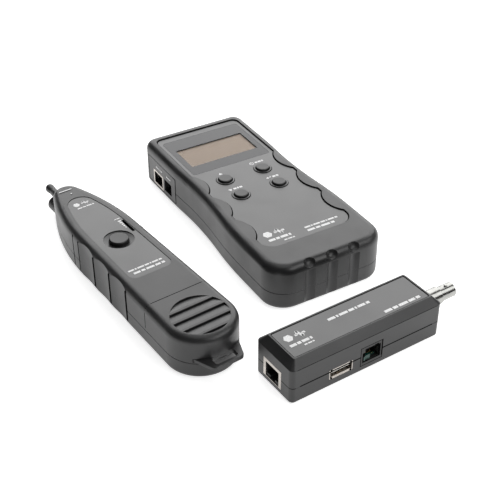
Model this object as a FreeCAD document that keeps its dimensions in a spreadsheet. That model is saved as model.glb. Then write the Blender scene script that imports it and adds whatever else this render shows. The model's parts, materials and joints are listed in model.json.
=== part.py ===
import FreeCAD, Part
import math
import os
import re
from types import SimpleNamespace

import Sketcher

# Three-piece cable tester kit: a main tester with a display and keys, a pen-shaped tone probe and a small
# remote terminator box, lying side by side on one surface.
# Millimetres. Origin: centre of the main tester's base. +Y runs to its display end, +X to its right, +Z up.
# Each unit is drawn about the centre of its own base and then placed on the surface.

Vector = FreeCAD.Vector
Rotation = FreeCAD.Rotation
Placement = FreeCAD.Placement
UP = Vector(0, 0, 1)

SIZES = {
    # main tester
    "main_length": 185,
    "main_height": 32,
    "main_parting": 12.3,
    "main_cavity_top": 28,
    "display_half_width": 39,
    "waist_half_width": 38,
    "grip_half_width": 42,
    "display_side_end": 52,
    "waist_centre": 18,
    "grip_side_start": -52,
    "display_corner": 8,
    "grip_corner": 16,
    "main_ridge": 5.5,
    "main_base_round": 3.5,
    "shell_wall": 2.5,
    "seam_chamfer": 0.25,
    "fit_gap": 0.3,
    "inner_gap": 0.1,
    # main tester: face
    "face_half_width": 33.3,
    "face_top": 85.5,
    "face_bottom": -68.5,
    "face_top_corner": 5,
    "face_bottom_corner": 10,
    "face_depth": 1.6,
    "face_thickness": 0.8,
    "pad_radius": 19,
    "pad_reach": 28.4,
    "pad_first": 18,
    "pad_pitch": 30.4,
    "window_half_width": 30.3,
    "window_low": 31,
    "window_high": 79.5,
    "window_corner": 2.5,
    "lcd_half_width": 26,
    "lcd_low": 41.5,
    "lcd_high": 66,
    "lcd_glass": 1.8,
    "lcd_margin": 2.2,
    "key_offset": 14.7,
    "key_row_far": 15.3,
    "key_row_near": -6,
    "key_radius": 4.7,
    "key_ring_radius": 5.7,
    "key_top": 33,
    "key_round": 0.9,
    "key_flange_radius": 5.9,
    "key_flange_top": 27.7,
    "key_flange_low": 26.6,
    "membrane_low": 24.4,
    "membrane_top": 25.4,
    "board_thickness": 1.6,
    # main tester: grooves in the grip end
    "groove_pitch": 16.3,
    "groove_radius": 5.3,
    "groove_depth": 1.7,
    "dimple_radius": 5,
    "dimple_depth": 2.1,
    # main tester: port panel on the left side
    "panel_start": 43.5,
    "panel_end": 84,
    "panel_low": 4.2,
    "panel_high": 23.6,
    "panel_thickness": 2.4,
    "panel_gap": 0.35,
    "side_jack_height": 10.2,
    "side_network_y": 69.3,
    "side_phone_y": 54.8,
    "end_usb_x": 15,
    "end_usb_height": 12.6,
    "end_coax_x": -13,
    "end_coax_height": 13.2,
    "end_coax_reach": 14,
    # batteries, doors and screws
    "cell_length": 48.5,
    "cell_width": 26.5,
    "cell_height": 17.5,
    "main_cell_centre": -55,
    "main_door_half_width": 17,
    "main_door_start": -85,
    "main_door_end": -25,
    "door_thickness": 2,
    "door_gap": 0.3,
    "screw_head_radius": 2.6,
    "screw_shank_radius": 1.3,
    "screw_head_height": 1.8,
    "boss_radius": 3.2,
    "screw_sink": 2.9,
    # jacks
    "jack_width": 17,
    "side_jack_width": 16.2,
    "jack_height": 12.8,
    "jack_depth": 18,
    "jack_sheet": 0.5,
    "plug_width": 11.9,
    "plug_height": 8,
    "plug_depth": 12.5,
    "latch_width": 4.4,
    "latch_height": 1.6,
    "contact_pitch": 1.02,
    "phone_width": 15.6,
    "side_phone_width": 12,
    "phone_height": 13.2,
    "side_phone_height": 12.4,
    "phone_depth": 15,
    "phone_plug_width": 9.9,
    "phone_plug_height": 6.8,
    "usb_width": 16.6,
    "usb_height": 6.8,
    "usb_depth": 14,
    "usb_sheet": 0.6,
    "coax_barrel": 4.8,
    "coax_bore": 4.05,
    "coax_hollow": 9,
    "coax_thread": 5.7,
    "coax_flange": 7.2,
    "coax_flange_thickness": 1.5,
    "coax_root": 6,
    # tone probe
    "probe_x": -104.1,
    "probe_y": -12.6,
    "probe_yaw": 5.2,
    "probe_height": 29,
    "probe_parting": 11,
    "probe_cavity_top": 26,
    "probe_half_width": 22.8,
    "probe_tail_centre": -86.3,
    "side_tilt": 1.1,
    "probe_side_end": 20,
    "probe_nose_sweep": 160,
    "probe_nose_round": 10,
    "probe_ridge": 4.8,
    "probe_base_round": 3,
    "probe_split": -62.3,
    "plate_half_width": 14.8,
    "plate_low": -36.8,
    "plate_side_end": 20,
    "plate_sweep": 148.5,
    "plate_end_round": 9,
    "plate_corner": 5.5,
    "plate_depth": 0.9,
    "plate_thickness": 0.6,
    "trigger_y": 4.7,
    "trigger_radius": 6.2,
    "trigger_top": 29.9,
    "trigger_round": 0.9,
    "trigger_flange_radius": 7.1,
    "trigger_flange_top": 25.7,
    "trigger_flange_low": 24.2,
    "switch_low": 18.2,
    "switch_high": 21.6,
    "switch_width": 6,
    "probe_board_low": 16.4,
    "speaker_low": 15,
    "speaker_rim_low": 19.5,
    "speaker_rim_radius": 12.3,
    "speaker_magnet_radius": 8,
    "dish_radius": 9.8,
    "dish_depth": 1.3,
    "wheel_x": 13.4,
    "wheel_y": 14.5,
    "wheel_radius": 9.2,
    "wheel_low": 20.6,
    "wheel_thickness": 3.2,
    "wheel_notch_radius": 0.7,
    "wheel_notch_offset": 0.35,
    "axle_radius": 1.5,
    "control_radius": 4.4,
    "wheel_slot_x": 12.4,
    "wheel_slot_width": 2,
    "wheel_slot_low": 7.2,
    "wheel_slot_high": 22,
    "rib_width": 1.2,
    "rib_depth": 0.8,
    "rib_top": 26.6,
    "scallop_depth": 1.2,
    "grille_centre": -87,
    "grille_radius": 17.5,
    "louvre_pitch": 8.15,
    "louvre_shift": 1.1,
    "louvre_depth": 1.2,
    "louvre_slot": 0.8,
    "tip_height": 16.5,
    "tip_end": 104.1,
    "tip_ball": 3.1,
    "tip_root_radius": 4,
    "tip_start": 74,
    "lamp_height": 7.3,
    "lamp_radius": 4.2,
    "lamp_hood_flare": 0.9,
    "lamp_hood_end": 97.5,
    "loop_low": 12.2,
    "loop_top": 14.5,
    "loop_root": -98,
    "loop_shoulder": -101.6,
    "loop_end": -116.6,
    "loop_half_width": 15.8,
    "loop_end_half_width": 10,
    "loop_corner": 3.5,
    "loop_slot_half_width": 7.2,
    "loop_slot_start": -108.8,
    "loop_slot_end": -114,
    "probe_cell_centre": -28,
    "probe_door_half_width": 16,
    "probe_door_start": -60,
    "probe_door_end": 2,
    # remote tester
    "remote_x": -21.4,
    "remote_y": -142.5,
    "remote_yaw": 3.2,
    "remote_length": 108.3,
    "remote_width": 34.5,
    "remote_height": 28,
    "remote_parting": 10.8,
    "remote_corner": 3,
    "remote_bevel": 4.6,
    "remote_base_round": 1.2,
    "remote_wall": 2.2,
    "remote_label_inset": 5.4,
    "remote_label_depth": 0.7,
    "remote_label_thickness": 0.4,
    "remote_jack_y": 1.2,
    "remote_jack_height": 9.9,
    "remote_usb_x": -19.7,
    "remote_usb_height": 8.6,
    "remote_phone_x": 2.2,
    "remote_phone_height": 10.6,
    "remote_coax_height": 12.5,
    "remote_board_low": 18.6,
    "remote_coax_reach": 24,
}

doc = FreeCAD.newDocument("cable_tester_kit")
sheet = doc.addObject("Spreadsheet::Sheet", "Sizes")
for row, (alias, number) in enumerate(SIZES.items(), start=1):
    sheet.set(f"A{row}", alias)
    sheet.set(f"B{row}", str(number))
    sheet.setAlias(f"B{row}", alias)
doc.recompute()
D = SimpleNamespace(**{alias: float(sheet.get(alias)) for alias in SIZES})

ADD = "Additive"
CUT = "Subtractive"
SUBPARTS = []


def linked(text):
    """An expression in which each alias becomes a reference to its cell."""
    return re.sub(r"[a-z][a-z_]+", lambda word: f"Sizes.{word[0]}" if word[0] in SIZES else word[0], text)


def bind(feature, **expressions):
    for name, text in expressions.items():
        feature.setExpression(name, linked(text))


def bind_base(feature, low):
    for axis, text in zip("xyz", low):
        feature.setExpression(f"Placement.Base.{axis}", linked(text))


def keep(feature, name, place):
    """Register a finished sub-part under its own label and put it in its place."""
    feature.Label = name
    feature.Placement = place
    SUBPARTS.append(feature)
    return feature


def new_body(name, place=None):
    body = doc.addObject("PartDesign::Body", name)
    if place is not None:
        keep(body, name, place)
    return body


def origin_plane(body, role):
    return next(item for item in body.Origin.OriginFeatures if item.Role == role)


def sketch_on(body, role, offset, edges):
    """A sketch on one of the body's origin planes, raised by the expression offset, with fixed edges."""
    sketch = body.newObject("Sketcher::SketchObject", f"{body.Name}_sketch")
    sketch.AttachmentSupport = [(origin_plane(body, role), "")]
    sketch.MapMode = "FlatFace"
    sketch.setExpression("AttachmentOffset.Base.z", linked(offset))
    for edge in edges:
        index = sketch.addGeometry(edge, False)
        sketch.addConstraint(Sketcher.Constraint("Block", index))
    return sketch


def pad(body, edges, start, height, role="XY_Plane"):
    feature = body.newObject("PartDesign::Pad", f"{body.Name}_pad")
    feature.Profile = sketch_on(body, role, start, edges)
    bind(feature, Length=height)
    return feature


def pocket(body, edges, start, depth, upward=False, role="XY_Plane"):
    """Cut the profile out of the body, down from the sketch or upward."""
    doc.recompute()
    before = body.Shape.Volume
    feature = body.newObject("PartDesign::Pocket", f"{body.Name}_pocket")
    feature.Profile = sketch_on(body, role, start, edges)
    feature.Reversed = upward
    bind(feature, Length=depth)
    doc.recompute()
    if body.Shape.Volume >= before:
        raise RuntimeError(f"{feature.Name} cuts nothing")
    return feature


def box(body, kind, low, size):
    """A box from its low corner and its size, both as expressions."""
    feature = body.newObject(f"PartDesign::{kind}Box", f"{body.Name}_box")
    bind(feature, Length=size[0], Width=size[1], Height=size[2])
    bind_base(feature, low)
    return feature


def cylinder(body, kind, low, radius, height, axis=UP):
    """A round post or hole that starts at low and runs along axis."""
    feature = body.newObject(f"PartDesign::{kind}Cylinder", f"{body.Name}_cylinder")
    feature.Placement = Placement(Vector(), Rotation(UP, axis))
    bind(feature, Radius=radius, Height=height)
    bind_base(feature, low)
    return feature


def sphere(body, kind, centre, radius):
    feature = body.newObject(f"PartDesign::{kind}Sphere", f"{body.Name}_sphere")
    bind(feature, Radius=radius)
    bind_base(feature, centre)
    return feature


def revolve(body, points, kind="Revolution"):
    """Turn a closed profile of (radius, y) points about the body's Y axis."""
    feature = body.newObject(f"PartDesign::{kind}", f"{body.Name}_revolve")
    profile = sketch_on(body, "XY_Plane", "0", polygon(points))
    feature.Profile = profile
    feature.ReferenceAxis = (profile, ["V_Axis"])
    feature.Angle = 360
    return feature


def dress(body, kind, picker, **expressions):
    """Round or bevel the edges of the body that picker accepts."""
    doc.recompute()
    base = body.Tip
    names = [f"Edge{n}" for n, edge in enumerate(base.Shape.Edges, start=1) if picker(edge)]
    feature = body.newObject(f"PartDesign::{kind}", f"{body.Name}_{kind.lower()}")
    feature.Base = (base, names)
    bind(feature, **expressions)
    return feature


def at_level(level):
    """Accepts edges that lie flat at this height."""
    return lambda edge: abs(edge.BoundBox.ZMin - level) < 0.01 and abs(edge.BoundBox.ZMax - level) < 0.01


def upright(edge):
    """Accepts straight edges that stand upright."""
    return edge.BoundBox.DiagonalLength - edge.BoundBox.ZLength < 0.01


def point(x, y):
    return Vector(x, y, 0)


def line(start, end):
    return Part.LineSegment(point(*start), point(*end))


def arc(centre, radius, start, end):
    """An arc counter-clockwise from one angle to the other, in degrees."""
    circle = Part.Circle(point(*centre), UP, radius)
    return Part.ArcOfCircle(circle, math.radians(start), math.radians(end))


def circle(centre, radius):
    return Part.Circle(point(*centre), UP, radius)


def polygon(points):
    return [line(a, b) for a, b in zip(points, points[1:] + points[:1])]


def mirror_image(edge):
    """The same line or arc on the other side of the Y axis."""
    if isinstance(edge, Part.LineSegment):
        return line((-edge.StartPoint.x, edge.StartPoint.y), (-edge.EndPoint.x, edge.EndPoint.y))
    centre = (-edge.Center.x, edge.Center.y)
    return arc(
        centre, edge.Radius, 180 - math.degrees(edge.LastParameter), 180 - math.degrees(edge.FirstParameter)
    )


def mirrored(edges):
    """The edges and their mirror images across the Y axis."""
    return edges + [mirror_image(edge) for edge in edges]


def rounded_rectangle(x_low, x_high, y_low, y_high, low_radius, high_radius):
    """A rectangle whose low-y and high-y corners have their own radii."""
    return [
        line((x_low + low_radius, y_low), (x_high - low_radius, y_low)),
        arc((x_high - low_radius, y_low + low_radius), low_radius, 270, 360),
        line((x_high, y_low + low_radius), (x_high, y_high - high_radius)),
        arc((x_high - high_radius, y_high - high_radius), high_radius, 0, 90),
        line((x_high - high_radius, y_high), (x_low + high_radius, y_high)),
        arc((x_low + high_radius, y_high - high_radius), high_radius, 90, 180),
        line((x_low, y_high - high_radius), (x_low, y_low + low_radius)),
        arc((x_low + low_radius, y_low + low_radius), low_radius, 180, 270),
    ]


def side_sway(wide, wide_y, narrow, narrow_y, inset):
    """Two tangent arcs that carry the right side from a wide stretch to a narrow one."""
    step = wide - narrow
    run = abs(wide_y - narrow_y)
    radius = (step**2 + run**2) / (4 * step)
    turn = math.degrees(math.asin(run / 2 / radius))
    if wide_y > narrow_y:
        bulge = arc((wide - radius, wide_y), radius - inset, 360 - turn, 360)
        hollow = arc((narrow + radius, narrow_y), radius + inset, 180 - turn, 180)
    else:
        bulge = arc((wide - radius, wide_y), radius - inset, 0, turn)
        hollow = arc((narrow + radius, narrow_y), radius + inset, 180, 180 + turn)
    return [bulge, hollow]


def main_outline(inset):
    """Plan of the main tester: a waist between the display end and a wider grip end."""
    end = D.main_length / 2
    wide = D.display_half_width - inset
    grip = D.grip_half_width - inset
    far_corner = (D.display_half_width - D.display_corner, end - D.display_corner)
    near_corner = (D.grip_half_width - D.grip_corner, D.grip_corner - end)
    right = [
        arc(far_corner, D.display_corner - inset, 0, 90),
        line((wide, far_corner[1]), (wide, D.display_side_end)),
        line((grip, D.grip_side_start), (grip, near_corner[1])),
        arc(near_corner, D.grip_corner - inset, 270, 360),
    ]
    right += side_sway(
        D.display_half_width, D.display_side_end, D.waist_half_width, D.waist_centre, inset
    )
    right += side_sway(D.grip_half_width, D.grip_side_start, D.waist_half_width, D.waist_centre, inset)
    ends = [
        line((-far_corner[0], end - inset), (far_corner[0], end - inset)),
        line((-near_corner[0], inset - end), (near_corner[0], inset - end)),
    ]
    return mirrored(right) + ends


def nose_centres(start, start_radius, side_end, sweep, nose):
    """Where a side leaves its round start and where it ends, the centre of its sweep and the nose's height."""
    tilt = math.radians(D.side_tilt)
    leave = (start[0] + start_radius * math.cos(tilt), start[1] + start_radius * math.sin(tilt))
    end = (leave[0] - (side_end - leave[1]) * math.tan(tilt), side_end)
    centre = (end[0] - sweep * math.cos(tilt), end[1] - sweep * math.sin(tilt))
    nose_y = centre[1] + math.sqrt((sweep - nose) ** 2 - centre[0] ** 2)
    return leave, end, centre, nose_y


def tapered_nose(start, start_radius, side_end, sweep, nose, inset):
    """Right half of a plan: a slightly tilted side, then a sweep to a round nose on the Y axis."""
    leave, end, centre, nose_y = nose_centres(start, start_radius, side_end, sweep, nose)
    tilt = math.radians(D.side_tilt)
    inward = (inset * math.cos(tilt), inset * math.sin(tilt))
    turn = math.degrees(math.atan2(nose_y - centre[1], -centre[0]))
    return [
        line((leave[0] - inward[0], leave[1] - inward[1]), (end[0] - inward[0], end[1] - inward[1])),
        arc(centre, sweep - inset, D.side_tilt, turn),
        arc((0, nose_y), nose - inset, turn, 90),
    ]


def probe_form():
    """The probe's plan: the tail's centre and radius, the end of its sides, its sweep and its nose."""
    tail = (0, D.probe_tail_centre)
    return tail, D.probe_half_width, D.probe_side_end, D.probe_nose_sweep, D.probe_nose_round


def probe_nose_end():
    return nose_centres(*probe_form())[3] + D.probe_nose_round


def probe_outline(inset):
    """Plan of the probe: a half-round tail, nearly straight sides and an ogive nose."""
    tail = arc((0, D.probe_tail_centre), D.probe_half_width - inset, 180 - D.side_tilt, 360 + D.side_tilt)
    return mirrored(tapered_nose(*probe_form(), inset)) + [tail]


def plate_outline(inset):
    """Plan of the probe's face plate, pointed towards the nose."""
    corner = (D.plate_half_width - D.plate_corner, D.plate_low + D.plate_corner)
    right = tapered_nose(
        corner, D.plate_corner, D.plate_side_end, D.plate_sweep, D.plate_end_round, inset
    )
    right.append(arc(corner, D.plate_corner - inset, 270, 360 + D.side_tilt))
    return mirrored(right) + [line((-corner[0], D.plate_low + inset), (corner[0], D.plate_low + inset))]


def remote_outline(inset):
    half_length = D.remote_length / 2 - inset
    half_width = D.remote_width / 2 - inset
    corner = D.remote_corner - min(inset, D.remote_corner - 1)
    return rounded_rectangle(-half_length, half_length, -half_width, half_width, corner, corner)


MAIN = Placement()
PROBE = Placement(Vector(D.probe_x, D.probe_y, 0), Rotation(UP, D.probe_yaw))
REMOTE = Placement(Vector(D.remote_x, D.remote_y, 0), Rotation(UP, D.remote_yaw))


def facing(unit, turn, x, y, z):
    """A place on a unit, turned about Z from facing -Y."""
    return unit.multiply(Placement(Vector(x, y, z), Rotation(UP, turn)))


# ---- jacks: each is drawn with its mouth in the plane y = 0, facing -Y, about its centre ----


def part_box(low, size):
    item = doc.addObject("Part::Box", "piece")
    bind(item, Length=size[0], Width=size[1], Height=size[2])
    bind_base(item, low)
    return item


def group(name, pieces, place):
    """Loose identical pieces that share one node."""
    bundle = doc.addObject("Part::Compound", name)
    bundle.Links = pieces
    return keep(bundle, name, place)


def contact_row(name, count, low_y, length, height, place):
    """A row of flat gold contacts side by side."""
    pieces = []
    for n in range(count):
        offset = n - (count - 1) / 2
        low = (f"{offset} * contact_pitch - contact_pitch / 4", low_y, height)
        pieces.append(part_box(low, ("contact_pitch / 2", length, "contact_pitch / 3")))
    return group(name, pieces, place)


def network_jack(name, width, place):
    shield = new_body(f"{name}_shield", place)
    box(shield, ADD, (f"-{width} / 2", "0", "-jack_height / 2"), (width, "jack_depth", "jack_height"))
    inner = (f"{width} - 2 * jack_sheet", "jack_depth - 2 * jack_sheet", "jack_height - 2 * jack_sheet")
    box(shield, CUT, (f"jack_sheet - {width} / 2", "jack_sheet", "jack_sheet - jack_height / 2"), inner)
    mouth = ("plug_width + 2 * fit_gap", "3 * jack_sheet", "plug_height + latch_height + 2 * fit_gap")
    mouth_low = ("-plug_width / 2 - fit_gap", "-jack_sheet", "-plug_height / 2 - latch_height - fit_gap")
    box(shield, CUT, mouth_low, mouth)

    insert = new_body(f"{name}_insert", place)
    rim = "jack_sheet + inner_gap"
    low = (f"{rim} - {width} / 2", rim, f"{rim} - jack_height / 2")
    size = (f"{width} - 2 * ({rim})", f"jack_depth - 2 * ({rim})", f"jack_height - 2 * ({rim})")
    box(insert, ADD, low, size)
    box(insert, CUT, ("-plug_width / 2", "0", "-plug_height / 2"), ("plug_width", "plug_depth", "plug_height"))
    latch = ("latch_width", "plug_depth", "latch_height + 1")
    box(insert, CUT, ("-latch_width / 2", "0", "-plug_height / 2 - latch_height"), latch)
    contact_row(f"{name}_contacts", 8, "3", "plug_depth - 3", "plug_height / 2 - 1", place)


def phone_jack(name, width, height, place):
    body = new_body(f"{name}_body", place)
    box(body, ADD, (f"-{width} / 2", "0", f"-{height} / 2"), (width, "phone_depth", height))
    plug = ("phone_plug_width", "plug_depth + 1", "phone_plug_height")
    box(body, CUT, ("-phone_plug_width / 2", "-1", "-phone_plug_height / 2"), plug)
    latch = ("latch_width", "plug_depth + 1", "latch_height + 1")
    box(body, CUT, ("-latch_width / 2", "-1", "phone_plug_height / 2 - 1"), latch)
    contact_row(f"{name}_contacts", 6, "3", "plug_depth - 3", "-phone_plug_height / 2 + 0.4", place)


def usb_socket(name, place):
    shell = new_body(f"{name}_shell", place)
    box(shell, ADD, ("-usb_width / 2", "0", "-usb_height / 2"), ("usb_width", "usb_depth", "usb_height"))
    along = lambda edge: edge.BoundBox.DiagonalLength - edge.BoundBox.YLength < 0.01
    dress(shell, "Fillet", along, Radius="usb_sheet")
    inner = ("usb_width - 2 * usb_sheet", "usb_depth", "usb_height - 2 * usb_sheet")
    box(shell, CUT, ("usb_sheet - usb_width / 2", "-usb_sheet", "usb_sheet - usb_height / 2"), inner)
    tongue = new_body(f"{name}_tongue", place)
    box(tongue, ADD, ("2 - usb_width / 2", "0.8", "0.4"), ("usb_width - 4", "usb_depth - 2.5", "1.7"))


def coax_jack(name, reach, place):
    """A bayonet jack: a chromed barrel on a flanged thread, with two lugs and a centre socket."""
    barrel = new_body(f"{name}_barrel", place)
    mouth = -getattr(D, reach)
    floor = mouth + D.coax_hollow
    step = floor + 2
    profile = [
        (0, D.coax_root),
        (D.coax_barrel, D.coax_root),
        (D.coax_barrel, 0),
        (D.coax_flange, 0),
        (D.coax_flange, -D.coax_flange_thickness),
        (D.coax_thread, -D.coax_flange_thickness),
        (D.coax_thread, min(step, -D.coax_flange_thickness - 1)),
        (D.coax_barrel, min(step, -D.coax_flange_thickness - 1)),
        (D.coax_barrel, mouth),
        (D.coax_bore, mouth),
        (D.coax_bore, floor),
        (0, floor),
    ]
    revolve(barrel, profile)
    for side in (1, -1):
        low = ("0", f"5 - {reach}", f"{side} * (coax_barrel - 0.4)")
        cylinder(barrel, ADD, low, "1", "1.3", Vector(0, 0, side))

    insulator = new_body(f"{name}_insulator", place)
    revolve(insulator, [(1.15, floor - 0.05), (2.4, floor - 0.05), (2.4, mouth + 2.6), (1.15, mouth + 2.6)])
    socket = new_body(f"{name}_socket", place)
    revolve(socket, [(0.6, floor - 0.05), (1.05, floor - 0.05), (1.05, mouth + 2.2), (0.6, mouth + 2.2)])


# ---- batteries, doors and screws ----


def nine_volt_cell(name, place):
    """A block battery with its long side along Y, and the two-stud snap strap on its end."""
    cell = new_body(f"{name}_battery", place)
    low = ("-cell_width / 2", "-cell_length / 2", "-cell_height / 2")
    box(cell, ADD, low, ("cell_width", "cell_length", "cell_height"))
    dress(cell, "Fillet", lambda edge: edge.BoundBox.DiagonalLength - edge.BoundBox.YLength < 0.01, Radius="1.5")
    snap = new_body(f"{name}_battery_snap", place)
    low = ("-cell_width / 2 + 1", "cell_length / 2 + inner_gap", "-cell_height / 2 + 2")
    box(snap, ADD, low, ("cell_width - 2", "4", "cell_height - 4"))
    dress(snap, "Fillet", lambda edge: edge.BoundBox.DiagonalLength - edge.BoundBox.YLength < 0.01, Radius="2")


def battery_door(name, half_width, start, end, place):
    """A flush door with a finger grip at its free end and a rounded hinge end."""
    door = new_body(name, place)
    low = (f"door_gap - {half_width}", f"{start} + door_gap", "door_gap")
    across = f"2 * ({half_width} - door_gap)"
    hinge_y = f"{end} - door_gap - door_thickness / 2"
    box(door, ADD, low, (across, f"{hinge_y} - {start} - door_gap", "door_thickness"))
    free_end = getattr(D, start) + D.door_gap + 1
    dress(door, "Fillet", lambda edge: upright(edge) and edge.BoundBox.YMax < free_end, Radius="2")
    hinge_start = (low[0], hinge_y, "door_gap + door_thickness / 2")
    cylinder(door, ADD, hinge_start, "door_thickness / 2", across, Vector(1, 0, 0))
    for n in range(4):
        ridge_low = ("-6", f"{start} + 4 + {n} * 1.6", "door_gap - 0.1")
        box(door, CUT, ridge_low, ("12", "0.8", "0.5"))
    return door


def screws(name, places, length, place):
    """Cross-head screws that point up from the base, each head at the top of its well."""
    low = "screw_sink - screw_head_height - inner_gap"
    pieces = []
    for x, y in places:
        head = doc.addObject("Part::Cylinder", "screw_head")
        bind(head, Radius="screw_head_radius", Height="screw_head_height")
        bind_base(head, (str(x), str(y), low))
        shank = doc.addObject("Part::Cylinder", "screw_shank")
        bind(shank, Radius="screw_shank_radius", Height=length)
        bind_base(shank, (str(x), str(y), f"{low} + 1.5"))
        blank = doc.addObject("Part::Fuse", "screw_blank")
        blank.Base = head
        blank.Tool = shank
        across = part_box((f"{x} - 1.5", f"{y} - 0.3", f"{low} - 0.1"), ("3", "0.6", "1.1"))
        along = part_box((f"{x} - 0.3", f"{y} - 1.5", f"{low} - 0.1"), ("0.6", "3", "1.1"))
        cross = doc.addObject("Part::Fuse", "screw_cross")
        cross.Base = across
        cross.Tool = along
        screw = doc.addObject("Part::Cut", "screw")
        screw.Base = blank
        screw.Tool = cross
        pieces.append(screw)
    return group(name, pieces, place)


def screw_posts(body, places, low, height):
    """Bosses that hang down from the upper half, bored for the screws' shanks but closed at the top."""
    for x, y in places:
        cylinder(body, ADD, (str(x), str(y), low), "boss_radius", height)
    for x, y in places:
        cylinder(body, CUT, (str(x), str(y), f"{low} - 1"), "screw_shank_radius + inner_gap", f"{height} - 1")


def screw_wells(body, places, low, height):
    """Bosses that stand on the base, bored through for the shanks and wider for the heads from below."""
    for x, y in places:
        cylinder(body, ADD, (str(x), str(y), low), "boss_radius", height)
    for x, y in places:
        cylinder(body, CUT, (str(x), str(y), "-1"), "screw_shank_radius + inner_gap", f"{low} + {height} + 2")
        cylinder(body, CUT, (str(x), str(y), "-1"), "screw_head_radius + fit_gap", "screw_sink + 1")


# ---- main tester ----

MAIN_SCREWS = [(-32, 82), (32, 82), (-31, -76), (31, -76)]
KEYS = {
    "main_key_up": (-1, "key_row_far"),
    "main_key_down": (-1, "key_row_near"),
    "main_key_power": (1, "key_row_far"),
    "main_key_enter": (1, "key_row_near"),
}


def face_outline(inset):
    """Plan of the main face: a rounded rectangle with three round finger pads biting into each side."""
    wide = D.face_half_width - inset
    top = (D.face_half_width - D.face_top_corner, D.face_top - D.face_top_corner)
    bottom = (D.face_half_width - D.face_bottom_corner, D.face_bottom + D.face_bottom_corner)
    bite = D.pad_radius + inset
    bite_x = D.pad_reach + D.pad_radius
    half_chord = math.sqrt(bite**2 - (bite_x - wide) ** 2)
    turn = math.degrees(math.asin(half_chord / bite))
    right = [
        arc(top, D.face_top_corner - inset, 0, 90),
        arc(bottom, D.face_bottom_corner - inset, 270, 360),
    ]
    side_start = top[1]
    for n in range(3):
        centre = D.pad_first - n * D.pad_pitch
        right.append(line((wide, side_start), (wide, centre + half_chord)))
        right.append(arc((bite_x, centre), bite, 180 - turn, 180 + turn))
        side_start = centre - half_chord
    right.append(line((wide, side_start), (wide, bottom[1])))
    ends = [
        line((-top[0], D.face_top - inset), (top[0], D.face_top - inset)),
        line((-bottom[0], D.face_bottom + inset), (bottom[0], D.face_bottom + inset)),
    ]
    return mirrored(right) + ends


def cut_grip_grooves(body, with_dimples):
    """Upright flutes across the grip end, each with a round dimple at its head."""
    axis_y = "-main_length / 2 + groove_depth - groove_radius"
    for n in (-1, 0, 1):
        across = f"{n} * groove_pitch"
        cylinder(body, CUT, (across, axis_y, "-1"), "groove_radius", "main_height - main_ridge + 0.5")
        if with_dimples:
            lean = "0.7071 * (main_ridge + dimple_radius - dimple_depth)"
            centre = (across, f"main_ridge - main_length / 2 - {lean}", f"main_height - main_ridge + {lean}")
            sphere(body, CUT, centre, "dimple_radius")


def cut_main_ports(body):
    """Openings for the side panel, the USB socket and the coaxial jack."""
    low = ("-display_half_width - 1", "panel_start - panel_gap", "panel_low - panel_gap")
    span = "2 * panel_gap"
    size = ("panel_thickness + 2", f"panel_end - panel_start + {span}", f"panel_high - panel_low + {span}")
    box(body, CUT, low, size)
    usb_low = ("end_usb_x - usb_width / 2 - inner_gap", "main_length / 2 - 4",
               "end_usb_height - usb_height / 2 - inner_gap")
    box(body, CUT, usb_low, ("usb_width + 2 * inner_gap", "5", "usb_height + 2 * inner_gap"))
    start = ("end_coax_x", "main_length / 2 - 4", "end_coax_height")
    cylinder(body, CUT, start, "coax_barrel + inner_gap", "5", Vector(0, 1, 0))


def main_front_shell():
    shell = new_body("main_front_shell", MAIN)
    pad(shell, main_outline(0), "main_parting", "main_height - main_parting")
    dress(shell, "Fillet", at_level(D.main_height), Radius="main_ridge")
    dress(shell, "Chamfer", at_level(D.main_parting), Size="seam_chamfer")
    pocket(shell, main_outline(D.shell_wall), "main_parting", "main_cavity_top - main_parting", upward=True)
    cut_grip_grooves(shell, with_dimples=True)
    pocket(shell, face_outline(0), "main_height", "face_depth")
    box(shell, CUT,
        ("-lcd_half_width - lcd_margin - inner_gap", "lcd_low - lcd_margin - inner_gap", "main_cavity_top - 1"),
        ("2 * (lcd_half_width + lcd_margin + inner_gap)", "lcd_high - lcd_low + 2 * (lcd_margin + inner_gap)", "8"))
    for side, row in KEYS.values():
        cylinder(shell, CUT, (f"{side} * key_offset", row, "main_cavity_top - 1"), "key_radius + fit_gap", "8")
    cut_main_ports(shell)
    screw_posts(shell, MAIN_SCREWS, "main_parting", "main_cavity_top - main_parting + 0.5")
    return shell


def main_back_shell():
    shell = new_body("main_back_shell", MAIN)
    pad(shell, main_outline(0), "0", "main_parting")
    dress(shell, "Fillet", at_level(0), Radius="main_base_round")
    dress(shell, "Chamfer", at_level(D.main_parting), Size="seam_chamfer")
    pocket(shell, main_outline(D.shell_wall), "main_parting", "main_parting - shell_wall")
    cut_grip_grooves(shell, with_dimples=False)
    low = ("-main_door_half_width", "main_door_start", "-1")
    box(shell, CUT, low, ("2 * main_door_half_width", "main_door_end - main_door_start", "shell_wall + 2"))
    cut_main_ports(shell)
    screw_wells(shell, MAIN_SCREWS, "shell_wall - 0.5", "main_parting - shell_wall + 0.5")
    return shell


def main_face():
    """The face plate, and the display window let into it."""
    plate = new_body("main_faceplate", MAIN)
    floor = "main_height - face_depth"
    pad(plate, face_outline(D.inner_gap), floor, "face_thickness")
    opening = rounded_rectangle(
        -D.window_half_width, D.window_half_width, D.window_low, D.window_high,
        D.window_corner, D.window_corner,
    )
    pocket(plate, opening, f"{floor} + face_thickness", "face_thickness")
    for side, row in KEYS.values():
        cylinder(plate, CUT, (f"{side} * key_offset", row, f"{floor} - 1"), "key_ring_radius", "4")

    window = new_body("main_window", MAIN)
    edge = D.window_half_width - D.inner_gap
    pane = rounded_rectangle(
        -edge, edge, D.window_low + D.inner_gap, D.window_high - D.inner_gap,
        D.window_corner, D.window_corner,
    )
    pad(window, pane, floor, "face_thickness")


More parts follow.
